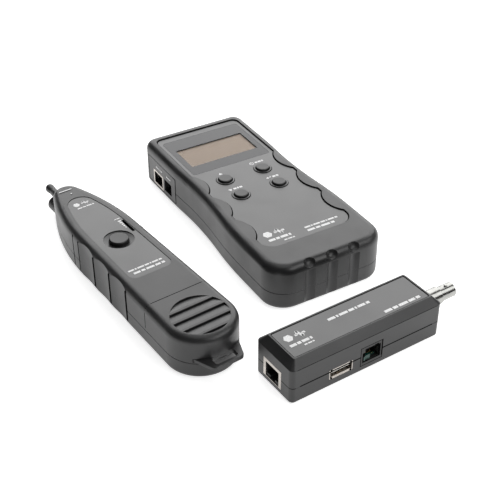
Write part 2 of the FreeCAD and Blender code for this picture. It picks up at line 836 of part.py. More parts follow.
def main_display():
    glass = new_body("main_lcd", MAIN)
    top = "main_height - face_depth - inner_gap"
    low = ("-lcd_half_width - lcd_margin", "lcd_low - lcd_margin", f"{top} - lcd_glass")
    size = ("2 * (lcd_half_width + lcd_margin)", "lcd_high - lcd_low + 2 * lcd_margin", "lcd_glass")
    box(glass, ADD, low, size)
    holder = new_body("main_lcd_holder", MAIN)
    low = ("-lcd_half_width - 4", "lcd_low - 4", "membrane_top")
    box(holder, ADD, low, ("2 * (lcd_half_width + 4)", "lcd_high - lcd_low + 8", "main_cavity_top - membrane_top - 0.1"))


def main_keys():
    for name, (side, row) in KEYS.items():
        key = new_body(name, MAIN)
        centre = (f"{side} * key_offset", row)
        cylinder(key, ADD, centre + ("key_flange_low",), "key_radius", "key_top - key_flange_low")
        dress(key, "Fillet", at_level(D.key_top), Radius="key_round")
        size = "key_flange_top - key_flange_low"
        cylinder(key, ADD, centre + ("key_flange_low",), "key_flange_radius", size)
    membrane = new_body("main_key_membrane", MAIN)
    low = ("-key_offset - 9", "key_row_near - 9", "membrane_low")
    size = ("2 * (key_offset + 9)", "key_row_far - key_row_near + 18", "membrane_top - membrane_low")
    box(membrane, ADD, low, size)
    dress(membrane, "Fillet", upright, Radius="3")


def main_board():
    board = new_body("main_circuit_board", MAIN)
    low = ("-28", "-24", "membrane_low - board_thickness - inner_gap")
    box(board, ADD, low, ("56", "102", "board_thickness"))
    dress(board, "Fillet", upright, Radius="2")


def main_port_panel():
    panel = new_body("main_port_panel", MAIN)
    low = ("-display_half_width", "panel_start", "panel_low")
    size = ("panel_thickness", "panel_end - panel_start", "panel_high - panel_low")
    box(panel, ADD, low, size)
    sideways = lambda edge: edge.BoundBox.DiagonalLength - edge.BoundBox.XLength < 0.01
    dress(panel, "Fillet", sideways, Radius="1")
    network = ("-display_half_width - 1", "side_network_y - plug_width / 2 - 0.9",
               "side_jack_height - plug_height / 2 - latch_height - 0.9")
    box(panel, CUT, network, ("5", "plug_width + 1.8", "plug_height + latch_height + 1.8"))
    phone = ("-display_half_width - 1", "side_phone_y - phone_plug_width / 2 - 0.4",
             "side_jack_height - phone_plug_height / 2 - 0.4")
    box(panel, CUT, phone, ("5", "phone_plug_width + 0.8", "phone_plug_height + latch_height + 0.8"))


def main_jacks():
    inside = D.panel_thickness + D.inner_gap - D.display_half_width
    network = facing(MAIN, -90, inside, D.side_network_y, D.side_jack_height)
    network_jack("main_network_jack", "side_jack_width", network)
    phone = facing(MAIN, -90, inside, D.side_phone_y, D.side_jack_height)
    phone_jack("main_phone_jack", "side_phone_width", "side_phone_height", phone)
    end = D.main_length / 2
    usb_socket("main_usb_socket", facing(MAIN, 180, D.end_usb_x, end, D.end_usb_height))
    coax_jack("main_coax_jack", "end_coax_reach", facing(MAIN, 180, D.end_coax_x, end, D.end_coax_height))


def main_tester():
    main_front_shell()
    main_back_shell()
    main_face()
    main_display()
    main_keys()
    main_board()
    main_port_panel()
    main_jacks()
    cell_height = D.shell_wall + D.cell_height / 2 + 1
    nine_volt_cell("main", facing(MAIN, 0, 0, D.main_cell_centre, cell_height))
    battery_door("main_battery_door", "main_door_half_width", "main_door_start", "main_door_end", MAIN)
    screws("main_screws", MAIN_SCREWS, "12", MAIN)


# ---- tone probe ----

PROBE_SCREWS = [(-15.6, -84), (15.6, -84), (-13.8, 34), (13.8, 34)]
RIB_PLACES = [28.9, 21.1, 0.9, -19.3, -39.8]


def probe_half_width_at(y):
    """Half the probe's width at a place along its sides."""
    leave, end, centre, _ = nose_centres(*probe_form())
    if y < end[1]:
        return leave[0] - (y - leave[1]) * math.tan(math.radians(D.side_tilt))
    return centre[0] + math.sqrt(D.probe_nose_sweep**2 - (y - centre[1]) ** 2)


def cut_ribs(body):
    """Thin upright grooves down both sides, with a shallow scallop between each pair."""
    bays = list(zip(RIB_PLACES[1:], RIB_PLACES[2:]))
    for side in (-1, 1):
        for place in RIB_PLACES:
            wall = probe_half_width_at(place)
            low_x = min(side * (wall - D.rib_depth), side * (wall + 1))
            low = (f"{low_x}", f"{place} - rib_width / 2", "-1")
            box(body, CUT, low, ("rib_depth + 1", "rib_width", "rib_top + 1"))
        for high, low in bays:
            middle = (high + low) / 2
            half_span = (high - low) / 2
            radius = (half_span**2 + D.scallop_depth**2) / (2 * D.scallop_depth)
            centre_x = side * (probe_half_width_at(middle) - D.scallop_depth + radius)
            cylinder(body, CUT, (f"{centre_x}", f"{middle}", "-1"), f"{radius}", "40")


def probe_upper_form(name):
    """The upper half of the probe's housing, before it is divided into shell and tail cover."""
    shell = new_body(name, PROBE)
    pad(shell, probe_outline(0), "probe_parting", "probe_height - probe_parting")
    dress(shell, "Fillet", at_level(D.probe_height), Radius="probe_ridge")
    dress(shell, "Chamfer", at_level(D.probe_parting), Size="seam_chamfer")
    pocket(shell, probe_outline(D.shell_wall), "probe_parting", "probe_cavity_top - probe_parting", upward=True)
    return shell


def cut_probe_nose(body):
    """The seats of the tip and of the lamp hood in the nose."""
    start = ("0", "tip_start", "tip_height")
    cylinder(body, CUT, start, "tip_root_radius + inner_gap", "20", Vector(0, 1, 0))
    start = ("0", "tip_start", "lamp_height")
    cylinder(body, CUT, start, "lamp_radius + inner_gap", "20", Vector(0, 1, 0))


def cut_wheel_openings(shell):
    """A window in the side for the wheel's rim and a slot in the top that shows its face."""
    centre = ("wheel_x", "wheel_y", "wheel_low - fit_gap")
    cylinder(shell, CUT, centre, "wheel_radius + fit_gap", "wheel_thickness + 2 * fit_gap")
    low = ("wheel_slot_x - wheel_slot_width / 2", "wheel_slot_low", "probe_cavity_top - 1")
    box(shell, CUT, low, ("wheel_slot_width", "wheel_slot_high - wheel_slot_low", "5"))


def probe_top_shell():
    shell = probe_upper_form("probe_top_shell")
    cut_ribs(shell)
    box(shell, CUT, ("-30", "probe_split - 60", "0"), ("60", "60 + inner_gap / 2", "40"))
    pocket(shell, plate_outline(0), "probe_height", "plate_depth")
    dish_radius = (D.dish_radius**2 + D.dish_depth**2) / (2 * D.dish_depth)
    centre = ("0", "trigger_y", f"probe_height - plate_depth - dish_depth + {dish_radius}")
    sphere(shell, CUT, centre, f"{dish_radius}")
    cylinder(shell, CUT, ("0", "trigger_y", "probe_cavity_top - 1"), "trigger_radius + fit_gap", "8")
    cut_wheel_openings(shell)
    cut_probe_nose(shell)
    screw_posts(shell, PROBE_SCREWS[2:], "probe_parting", "probe_cavity_top - probe_parting + 0.5")


def louvre_cutter():
    """Sloped recesses that deepen towards the nose, kept within the grille's circle."""
    radius = D.grille_radius
    wedges = []
    for n in range(-2, 3):
        far = D.grille_centre + D.louvre_shift - n * D.louvre_pitch
        near = far - D.louvre_pitch * 0.8
        wedge = doc.addObject("Part::Wedge", "louvre")
        wedge.Xmin, wedge.Xmax = -radius - 2, radius + 2
        wedge.X2min, wedge.X2max = -radius - 2, radius + 2
        wedge.Ymin, wedge.Ymax = near, far
        wedge.Zmin, wedge.Zmax = D.probe_height, D.probe_height + 3
        wedge.Z2min, wedge.Z2max = D.probe_height - D.louvre_depth, D.probe_height + 3
        wedges.append(wedge)
        slot = part_box(
            (f"-{radius}", f"{far} - louvre_slot", "probe_cavity_top - 1"),
            (f"2 * {radius}", "louvre_slot", "4"),
        )
        wedges.append(slot)
    rows = doc.addObject("Part::MultiFuse", "louvre_rows")
    rows.Shapes = wedges
    disc = doc.addObject("Part::Cylinder", "grille_disc")
    bind(disc, Radius="grille_radius", Height="8")
    bind_base(disc, ("0", "grille_centre", "probe_cavity_top - 2"))
    cutter = doc.addObject("Part::Common", "louvre_cutter")
    cutter.Base = rows
    cutter.Tool = disc
    return cutter


def probe_tail_cover():
    form = probe_upper_form("probe_tail_form")
    SUBPARTS.remove(form)
    form.Placement = Placement()
    box(form, CUT, ("-30", "probe_split - inner_gap / 2", "0"), ("60", "160", "40"))
    low = ("-loop_half_width - inner_gap", "loop_end", "loop_low - inner_gap")
    size = ("2 * (loop_half_width + inner_gap)", "loop_root - loop_end", "loop_top - loop_low + 2 * inner_gap")
    box(form, CUT, low, size)
    screw_posts(form, PROBE_SCREWS[:2], "probe_parting", "probe_cavity_top - probe_parting + 0.5")
    cover = doc.addObject("Part::Cut", "probe_tail_cover")
    cover.Base = form
    cover.Tool = louvre_cutter()
    keep(cover, "probe_tail_cover", PROBE)


def probe_bottom_shell():
    shell = new_body("probe_bottom_shell", PROBE)
    pad(shell, probe_outline(0), "0", "probe_parting")
    dress(shell, "Fillet", at_level(0), Radius="probe_base_round")
    dress(shell, "Chamfer", at_level(D.probe_parting), Size="seam_chamfer")
    pocket(shell, probe_outline(D.shell_wall), "probe_parting", "probe_parting - shell_wall")
    cut_ribs(shell)
    low = ("-probe_door_half_width", "probe_door_start", "-1")
    box(shell, CUT, low, ("2 * probe_door_half_width", "probe_door_end - probe_door_start", "shell_wall + 2"))
    cut_probe_nose(shell)
    screw_wells(shell, PROBE_SCREWS, "shell_wall - 0.5", "probe_parting - shell_wall + 0.5")


def probe_plate():
    plate = new_body("probe_faceplate", PROBE)
    floor = "probe_height - plate_depth"
    pad(plate, plate_outline(D.inner_gap), floor, "plate_thickness")
    cylinder(plate, CUT, ("0", "trigger_y", f"{floor} - 1"), "dish_radius", "4")
    low = ("wheel_slot_x - wheel_slot_width / 2", "wheel_slot_low", f"{floor} - 1")
    box(plate, CUT, low, ("wheel_slot_width", "wheel_slot_high - wheel_slot_low", "4"))


def probe_controls():
    trigger = new_body("probe_button", PROBE)
    centre = ("0", "trigger_y", "trigger_flange_low")
    cylinder(trigger, ADD, centre, "trigger_radius", "trigger_top - trigger_flange_low")
    dress(trigger, "Fillet", at_level(D.trigger_top), Radius="trigger_round")
    cylinder(trigger, ADD, centre, "trigger_flange_radius", "trigger_flange_top - trigger_flange_low")
    switch = new_body("probe_button_switch", PROBE)
    low = ("-switch_width / 2", "trigger_y - switch_width / 2", "switch_low")
    box(switch, ADD, low, ("switch_width", "switch_width", "switch_high - switch_low"))
    cylinder(switch, ADD, ("0", "trigger_y", "switch_high - 0.6"), "1.6", "2")

    wheel = new_body("probe_thumbwheel", PROBE.multiply(Placement(Vector(D.wheel_x, D.wheel_y, 0), Rotation())))
    cylinder(wheel, ADD, ("0", "0", "wheel_low"), "wheel_radius", "wheel_thickness")
    notches = 24
    for n in range(notches):
        turn = 2 * math.pi * n / notches
        reach = D.wheel_radius + D.wheel_notch_offset
        centre = (f"{reach * math.cos(turn)}", f"{reach * math.sin(turn)}", "wheel_low - 1")
        cylinder(wheel, CUT, centre, "wheel_notch_radius", "wheel_thickness + 2")
    cylinder(wheel, CUT, ("0", "0", "wheel_low - 1"), "axle_radius + 0.05", "wheel_thickness + 2")
    axle = new_body("probe_volume_control", PROBE.multiply(Placement(Vector(D.wheel_x, D.wheel_y, 0), Rotation())))
    board_top = "probe_board_low + board_thickness + inner_gap"
    cylinder(axle, ADD, ("0", "0", board_top), "axle_radius", f"wheel_low + wheel_thickness - 0.3 - ({board_top})")
    cylinder(axle, ADD, ("0", "0", board_top), "control_radius", f"wheel_low - 0.5 - ({board_top})")


def probe_nose_parts():
    nose = probe_nose_end()
    tip = new_body("probe_tip", facing(PROBE, 0, 0, 0, D.tip_height))
    ball_centre = D.tip_end - D.tip_ball
    profile = [
        line((0, D.tip_start + 0.5), (D.tip_root_radius, D.tip_start + 0.5)),
        line((D.tip_root_radius, D.tip_start + 0.5), (D.tip_root_radius, nose + 1)),
        line((D.tip_root_radius, nose + 1), (D.tip_ball - 0.5, ball_centre - 5)),
        line((D.tip_ball - 0.5, ball_centre - 5), (D.tip_ball, ball_centre)),
        arc((0, ball_centre), D.tip_ball, 0, 90),
        line((0, D.tip_end), (0, D.tip_start + 0.5)),
    ]
    feature = tip.newObject("PartDesign::Revolution", "probe_tip_revolve")
    sketch = sketch_on(tip, "XY_Plane", "0", profile)
    feature.Profile = sketch
    feature.ReferenceAxis = (sketch, ["V_Axis"])
    feature.Angle = 360

    hood = new_body("probe_lamp_hood", facing(PROBE, 0, 0, 0, D.lamp_height))
    front = D.lamp_hood_end
    revolve(hood, [
        (2.1, D.tip_start + 0.5),
        (D.lamp_radius, D.tip_start + 0.5),
        (D.lamp_radius, nose + 1),
        (D.lamp_radius + D.lamp_hood_flare, nose + 2),
        (D.lamp_radius + D.lamp_hood_flare, front - 1.5),
        (D.lamp_radius, front),
        (2.6, front),
        (2.1, front - 2),
    ])
    lamp = new_body("probe_lamp", facing(PROBE, 0, 0, 0, D.lamp_height))
    cylinder(lamp, ADD, ("0", "tip_start + 1", "0"), "2", f"{front - D.tip_start - 4}", Vector(0, 1, 0))
    sphere(lamp, ADD, ("0", f"{front - 3}", "0"), "2")


def probe_inside():
    board = new_body("probe_circuit_board", PROBE)
    box(board, ADD, ("-10", "0.5", "probe_board_low"), ("20", "50", "board_thickness"))
    box(board, ADD, ("-17.6", "wheel_y - 6", "probe_board_low"), ("35.2", "12", "board_thickness"))
    speaker = new_body("probe_speaker", PROBE)
    centre = ("0", "probe_tail_centre - 1")
    cylinder(speaker, ADD, (*centre, "speaker_rim_low"), "speaker_rim_radius", "4.5")
    cylinder(speaker, ADD, (*centre, "speaker_low"), "speaker_magnet_radius", "5")
    height = D.shell_wall + D.cell_height / 2 + 0.6
    nine_volt_cell("probe", facing(PROBE, 180, 0, D.probe_cell_centre, height))


def probe_loop():
    """A flat lanyard loop held in the wall of the tail cover."""
    loop = new_body("probe_lanyard_loop", PROBE)
    right = [
        (D.loop_end_half_width, D.loop_end),
        (D.loop_half_width, D.loop_shoulder),
        (D.loop_half_width, D.loop_root),
    ]
    left = [(-x, y) for x, y in reversed(right)]
    pad(loop, polygon(right + left), "loop_low", "loop_top - loop_low")
    end_corners = lambda edge: upright(edge) and edge.BoundBox.YMax < D.loop_slot_end
    dress(loop, "Fillet", end_corners, Radius="loop_corner")
    half = D.loop_slot_half_width
    pocket(
        loop, rounded_rectangle(-half, half, D.loop_slot_end, D.loop_slot_start, 1.2, 1.2),
        "loop_top", "loop_top - loop_low + 1",
    )
    dress(loop, "Chamfer", at_level(D.loop_top), Size="0.4")


def tone_probe():
    probe_top_shell()
    probe_tail_cover()
    probe_bottom_shell()
    probe_plate()
    probe_controls()
    probe_nose_parts()
    probe_inside()
    probe_loop()
    battery_door("probe_battery_door", "probe_door_half_width", "probe_door_start", "probe_door_end", PROBE)
    screws("probe_screws", PROBE_SCREWS, "10", PROBE)


# ---- remote tester ----

REMOTE_SCREWS = [(-32, 12), (46, 12.5), (-8.5, 12.5), (46, -12.5)]


def cut_remote_ports(body):
    """Openings for the network jack, the USB socket, the phone jack and the coaxial jack."""
    half_length = "remote_length / 2"
    half_width = "remote_width / 2"
    low = (f"-{half_length} - 1", "remote_jack_y - jack_width / 2 - inner_gap",
           "remote_jack_height - jack_height / 2 - inner_gap")
    box(body, CUT, low, ("5", "jack_width + 2 * inner_gap", "jack_height + 2 * inner_gap"))
    low = ("remote_usb_x - usb_width / 2 - inner_gap", f"-{half_width} - 1",
           "remote_usb_height - usb_height / 2 - inner_gap")
    box(body, CUT, low, ("usb_width + 2 * inner_gap", "5", "usb_height + 2 * inner_gap"))
    low = ("remote_phone_x - phone_width / 2 - inner_gap", f"-{half_width} - 1",
           "remote_phone_height - phone_height / 2 - inner_gap")
    box(body, CUT, low, ("phone_width + 2 * inner_gap", "5", "phone_height + 2 * inner_gap"))
    start = (f"{half_length} - 4", "0", "remote_coax_height")
    cylinder(body, CUT, start, "coax_barrel + inner_gap", "6", Vector(1, 0, 0))


def remote_shells():
    top = new_body("remote_top_shell", REMOTE)
    shoulder = "remote_height - remote_bevel"
    pad(top, remote_outline(0), "remote_parting", f"{shoulder} - remote_parting")
    bevel = top.newObject("PartDesign::AdditiveLoft", "remote_top_bevel")
    bevel.Profile = sketch_on(top, "XY_Plane", shoulder, remote_outline(0))
    bevel.Sections = [sketch_on(top, "XY_Plane", "remote_height", remote_outline(D.remote_bevel))]
    bevel.Ruled = True
    dress(top, "Chamfer", at_level(D.remote_parting), Size="seam_chamfer")
    depth = "remote_height - remote_parting - 4"
    pocket(top, remote_outline(D.remote_wall), "remote_parting", depth, upward=True)
    inset = D.remote_label_inset
    half_length = D.remote_length / 2 - inset
    half_width = D.remote_width / 2 - inset
    recess = rounded_rectangle(-half_length, half_length, -half_width, half_width, 1.5, 1.5)
    pocket(top, recess, "remote_height", "remote_label_depth")
    cut_remote_ports(top)
    screw_posts(top, REMOTE_SCREWS, "remote_parting", f"{depth} + 0.5")

    label = new_body("remote_faceplate", REMOTE)
    gap = D.inner_gap
    sheet_edges = rounded_rectangle(
        gap - half_length, half_length - gap, gap - half_width, half_width - gap, 1.4, 1.4
    )
    pad(label, sheet_edges, "remote_height - remote_label_depth", "remote_label_thickness")

    bottom = new_body("remote_bottom_shell", REMOTE)
    pad(bottom, remote_outline(0), "0", "remote_parting")
    dress(bottom, "Fillet", at_level(0), Radius="remote_base_round")
    dress(bottom, "Chamfer", at_level(D.remote_parting), Size="seam_chamfer")
    pocket(bottom, remote_outline(D.remote_wall), "remote_parting", "remote_parting - remote_wall")
    cut_remote_ports(bottom)
    screw_wells(bottom, REMOTE_SCREWS, "remote_wall - 0.5", "remote_parting - remote_wall + 0.5")


def remote_tester():
    remote_shells()
    board = new_body("remote_circuit_board", REMOTE)
    box(board, ADD, ("-34", "-8", "remote_board_low"), ("82", "16.4", "board_thickness"))
    half_length = D.remote_length / 2
    half_width = D.remote_width / 2
    left = facing(REMOTE, -90, -half_length, D.remote_jack_y, D.remote_jack_height)
    network_jack("remote_network_jack", "jack_width", left)
    usb_socket("remote_usb_socket", facing(REMOTE, 0, D.remote_usb_x, -half_width, D.remote_usb_height))
    front = facing(REMOTE, 0, D.remote_phone_x, -half_width, D.remote_phone_height)
    phone_jack("remote_phone_jack", "phone_width", "phone_height", front)
    right = facing(REMOTE, 90, half_length, 0, D.remote_coax_height)
    coax_jack("remote_coax_jack", "remote_coax_reach", right)
    screws("remote_screws", REMOTE_SCREWS, "10", REMOTE)


def check_document():
    for item in doc.Objects:
        if "Invalid" in item.State or "Error" in item.State:
            raise RuntimeError(f"{item.Label} failed: {item.State}")
    for item in SUBPARTS:
        if item.Shape.isNull() or not item.Shape.isValid() or not item.Shape.Solids:
            raise RuntimeError(f"{item.Label} has no valid solid")


def main():
    main_tester()
    tone_probe()
    remote_tester()
    doc.recompute()
    check_document()
    os.makedirs("parts", exist_ok=True)
    for item in SUBPARTS:
        item.Shape.exportStep(os.path.join("parts", f"{item.Label}.step"))
        print(f"{item.Label}: {len(item.Shape.Solids)} solid, {item.Shape.Volume / 1000:.2f} cm3")


main()
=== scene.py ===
"""Looks of the cable tester kit: finishes, small parts, printed marks, floor, light and camera."""
import json
import math

import bmesh
import bpy
from mathutils import Matrix, Vector

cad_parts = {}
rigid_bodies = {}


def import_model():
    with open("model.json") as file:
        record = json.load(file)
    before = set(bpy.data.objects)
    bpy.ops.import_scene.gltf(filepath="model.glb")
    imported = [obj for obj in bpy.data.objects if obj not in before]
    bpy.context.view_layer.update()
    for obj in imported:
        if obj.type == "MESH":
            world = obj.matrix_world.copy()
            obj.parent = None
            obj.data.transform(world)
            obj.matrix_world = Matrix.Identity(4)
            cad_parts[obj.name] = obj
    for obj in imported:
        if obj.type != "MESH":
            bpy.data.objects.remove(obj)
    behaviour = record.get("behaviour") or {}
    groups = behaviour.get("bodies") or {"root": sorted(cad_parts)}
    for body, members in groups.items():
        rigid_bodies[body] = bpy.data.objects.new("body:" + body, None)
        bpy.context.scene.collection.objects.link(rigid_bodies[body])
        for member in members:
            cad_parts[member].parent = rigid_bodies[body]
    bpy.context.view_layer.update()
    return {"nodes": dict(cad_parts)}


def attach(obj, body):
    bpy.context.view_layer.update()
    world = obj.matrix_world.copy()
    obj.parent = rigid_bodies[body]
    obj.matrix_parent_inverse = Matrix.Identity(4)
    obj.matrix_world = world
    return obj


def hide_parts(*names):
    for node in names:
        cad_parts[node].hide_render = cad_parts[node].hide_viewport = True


MM = 0.001

for leftover in list(bpy.data.objects):
    bpy.data.objects.remove(leftover)
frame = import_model()


# ---- where the three units stand ----

def stand(x, y, turn):
    """A unit's place in the shared frame, from millimetres and degrees."""
    return Matrix.Translation((x * MM, y * MM, 0)) @ Matrix.Rotation(math.radians(turn), 4, "Z")


UNITS = {
    "main": (stand(0, 0, 0), "main_tester"),
    "probe": (stand(-104.1, -12.6, 5.2), "probe"),
    "remote": (stand(-21.4, -142.5, 3.2), "remote"),
}


# ---- finishes ----

NOISE_LOW, NOISE_HIGH = 0.3, 0.7
BEVEL_SAMPLES = 6
EDGE_DOT = 0.9  # a rounded normal this far off the true one counts fully as an edge


class Look:
    """A material built from nodes around one Principled shader."""

    def __init__(self, name, colour, roughness, **sockets):
        self.material = bpy.data.materials.new(name)
        self.material.use_nodes = True
        self.tree = self.material.node_tree
        self.shader = self.tree.nodes["Principled BSDF"]
        self.set("Base Color", (*colour, 1))
        self.set("Roughness", roughness)
        for socket, value in sockets.items():
            self.set(socket.replace("_", " "), value)
        self.place = self.node("ShaderNodeTexCoord").outputs["Object"]
        self.normal = None

    def node(self, kind, **settings):
        made = self.tree.nodes.new(kind)
        for key, value in settings.items():
            setattr(made, key, value)
        return made

    def set(self, socket, value):
        self.shader.inputs[socket].default_value = value

    def join(self, output, target):
        self.tree.links.new(output, target)

    def feed(self, socket, output):
        self.join(output, self.shader.inputs[socket])

    def noise(self, scale, detail=2, stretch=None):
        texture = self.node("ShaderNodeTexNoise")
        texture.inputs["Scale"].default_value = scale
        texture.inputs["Detail"].default_value = detail
        self.join(self.stretched(stretch), texture.inputs["Vector"])
        return texture.outputs["Fac"]

    def stretched(self, stretch):
        """The object's own coordinates, scaled unevenly if stretch says so."""
        if stretch is None:
            return self.place
        mapping = self.node("ShaderNodeMapping")
        mapping.inputs["Scale"].default_value = stretch
        self.join(self.place, mapping.inputs["Vector"])
        return mapping.outputs["Vector"]

    def cells(self, scale, feature, stretch):
        texture = self.node("ShaderNodeTexVoronoi", feature=feature)
        texture.inputs["Scale"].default_value = scale
        self.join(self.stretched(stretch), texture.inputs["Vector"])
        return texture.outputs["Distance"]

    def remap(self, output, low, high, to_low, to_high):
        ranged = self.node("ShaderNodeMapRange")
        for slot, value in enumerate((low, high, to_low, to_high)):
            ranged.inputs[slot + 1].default_value = value
        self.join(output, ranged.inputs[0])
        return ranged.outputs[0]

    def spread(self, noise, to_low, to_high):
        """Spreads the middle of a noise, where nearly all of it lies, over a range."""
        return self.remap(noise, NOISE_LOW, NOISE_HIGH, to_low, to_high)

    def maths(self, operation, first, second=0.0):
        made = self.node("ShaderNodeMath", operation=operation)
        for slot, value in enumerate((first, second)):
            if isinstance(value, (int, float)):
                made.inputs[slot].default_value = value
            else:
                self.join(value, made.inputs[slot])
        return made.outputs[0]

    def blend(self, factor, first, second):
        """A colour between two colours, each three numbers or an output."""
        mix = self.node("ShaderNodeMix", data_type="RGBA")
        self.join(factor, mix.inputs["Factor"])
        for socket, value in (("A", first), ("B", second)):
            target = [s for s in mix.inputs if s.name == socket and s.type == "RGBA"][0]
            if isinstance(value, tuple):
                target.default_value = (*value, 1)
            else:
                self.join(value, target)
        return [s for s in mix.outputs if s.type == "RGBA"][0]

    def soft_edges(self, radius):
        """Rounds the shading of every hard edge and returns a mask that is 1 on the edges."""
        bevel = self.node("ShaderNodeBevel", samples=BEVEL_SAMPLES)
        bevel.inputs["Radius"].default_value = radius * MM
        self.normal = bevel.outputs["Normal"]
        geometry = self.node("ShaderNodeNewGeometry")
        dot = self.node("ShaderNodeVectorMath", operation="DOT_PRODUCT")
        self.join(bevel.outputs["Normal"], dot.inputs[0])
        self.join(geometry.outputs["Normal"], dot.inputs[1])
        return self.remap(dot.outputs["Value"], 1.0, EDGE_DOT, 0.0, 1.0)

    def bump(self, height, strength, distance):
        made = self.node("ShaderNodeBump")
        made.inputs["Strength"].default_value = strength
        made.inputs["Distance"].default_value = distance * MM
        self.join(height, made.inputs["Height"])
        if self.normal is not None:
            self.join(self.normal, made.inputs["Normal"])
        self.normal = made.outputs["Normal"]

    def finish(self):
        if self.normal is not None:
            self.feed("Normal", self.normal)
        return self.material


CLOUDS = 0.14  # how far moulded plastic drifts in tone and gloss, as a share
EDGE_POLISH = 0.06
PLASTIC_EDGE = 0.22  # radii of the softened edges, in mm
METAL_EDGE = 0.12


def shade(colour, share):
    return tuple(min(1, c * share) for c in colour)


def moulded(name, colour, roughness, grain=0.35, depth=0.012, specular=0.5, lighten=1.7):
    """Moulded plastic: fine spark grain (mm), cloudy gloss, and edges polished by handling."""
    look = Look(name, colour, roughness, Specular_IOR_Level=specular)
    edges = look.soft_edges(PLASTIC_EDGE)
    clouds = look.noise(60, 3)
    deep, pale = 1 - CLOUDS, 1 + CLOUDS
    base = look.blend(look.spread(clouds, 0, 1), shade(colour, deep), shade(colour, pale))
    scuff = look.maths("MULTIPLY", edges, look.remap(look.noise(420, 2), 0.42, 0.6, 0, 0.8))
    look.feed("Base Color", look.blend(scuff, base, shade(colour, lighten)))
    rough = look.maths("MULTIPLY", look.spread(clouds, deep, pale), roughness)
    polish = look.maths("MULTIPLY", edges, EDGE_POLISH)
    look.feed("Roughness", look.maths("SUBTRACT", rough, polish))
    look.bump(look.noise(1000 / grain, 1), 0.5, depth)
    return look.finish()


def sheet_metal(name, colour, roughness, stretch, scale=900):
    """Stamped or turned metal with fine drawn lines and a little tarnish."""
    look = Look(name, colour, roughness, Metallic=1.0)
    edges = look.soft_edges(METAL_EDGE)
    drawn = look.noise(scale, 3, stretch)
    stain = look.remap(look.noise(140, 3), 0.35, 0.75, 0, 0.55)
    base = look.blend(stain, colour, shade(colour, 0.6))
    look.feed("Base Color", look.blend(edges, base, shade(colour, 1.12)))
    look.feed("Roughness", look.spread(drawn, roughness * 0.75, roughness * 1.35))
    look.bump(drawn, 0.25, 0.02)
    return look.finish()


# The clear field of the window, in metres: its half width and half height, its middle along y,
# and half the width of its soft edge.
FIELD_X, FIELD_Y, FIELD_MIDDLE, FIELD_SOFT = 0.026, 0.0122, 0.0537, 0.0002
FIELD_COVER = 0.12  # how much of the pane's own surface still shows over the clear field


def smoked_window():
    """Glossy pane with a smoky border printed behind it and a clear field over the display."""
    look = Look("smoked_window", (0.03, 0.031, 0.032), 0.12, Specular_IOR_Level=0.36)
    see = look.node("ShaderNodeBsdfTransparent")
    see.inputs["Color"].default_value = (0.95, 0.94, 0.92, 1)
    split = look.node("ShaderNodeSeparateXYZ")
    look.join(look.place, split.inputs[0])
    off_x = look.maths("ABSOLUTE", split.outputs["X"])
    off_y = look.maths("ABSOLUTE", look.maths("SUBTRACT", split.outputs["Y"], FIELD_MIDDLE))
    inside_x = look.remap(off_x, FIELD_X + FIELD_SOFT, FIELD_X - FIELD_SOFT, 0, 1)
    inside_y = look.remap(off_y, FIELD_Y + FIELD_SOFT, FIELD_Y - FIELD_SOFT, 0, 1)
    field = look.maths("MULTIPLY", inside_x, inside_y)
    mix = look.node("ShaderNodeMixShader")
    look.join(look.remap(field, 0, 1, 1.0, FIELD_COVER), mix.inputs["Fac"])
    smear = look.noise(45, 3)
    look.feed("Roughness", look.spread(smear, 0.14, 0.24))
    look.feed("Base Color", look.blend(smear, (0.024, 0.025, 0.027), (0.031, 0.031, 0.034)))
    look.join(see.outputs[0], mix.inputs[1])
    look.join(look.shader.outputs[0], mix.inputs[2])
    look.join(mix.outputs[0], look.tree.nodes["Material Output"].inputs["Surface"])
    return look.material


DISPLAY_ROW = 0.0028  # metres from a row of the display to the middle of the next space


def display():
    """Reflective liquid crystal cell, switched off, with very faint rows."""
    look = Look("display_glass", (0.62, 0.5, 0.42), 0.3, Specular_IOR_Level=0.3)
    split = look.node("ShaderNodeSeparateXYZ")
    look.join(look.place, split.inputs[0])
    row = look.maths("PINGPONG", split.outputs["Y"], DISPLAY_ROW)
    rows = look.remap(row, 0.0002, 0.0006, 0, 1)
    cloud = look.spread(look.noise(55, 2), 0, 1)
    base = look.blend(cloud, (0.57, 0.462, 0.40), (0.605, 0.49, 0.425))
    look.feed("Base Color", look.blend(rows, (0.568, 0.470, 0.396), base))
    look.feed("Roughness", look.remap(cloud, 0, 1, 0.26, 0.36))
    return look.finish()


def board():
    """Green solder mask over copper tracks, with tinned pads."""
    look = Look("circuit_board", (0.01, 0.12, 0.04), 0.3, Coat_Weight=0.4)
    tracks = look.cells(260, "DISTANCE_TO_EDGE", (1, 1, 0.01))
    lines = look.remap(tracks, 0.02, 0.1, 1, 0)
    pads = look.remap(look.cells(420, "F1", (1, 1, 0.01)), 0.12, 0.18, 1, 0)
    base = look.blend(lines, (0.008, 0.09, 0.03), (0.03, 0.22, 0.08))
    look.feed("Base Color", look.blend(pads, base, (0.6, 0.6, 0.56)))
    look.feed("Roughness", look.remap(pads, 0, 1, 0.3, 0.45))
    look.bump(lines, 0.3, 0.05)
    return look.finish()


BAND_SPACING, BAND_START = 0.024, 0.019  # metres along the cell


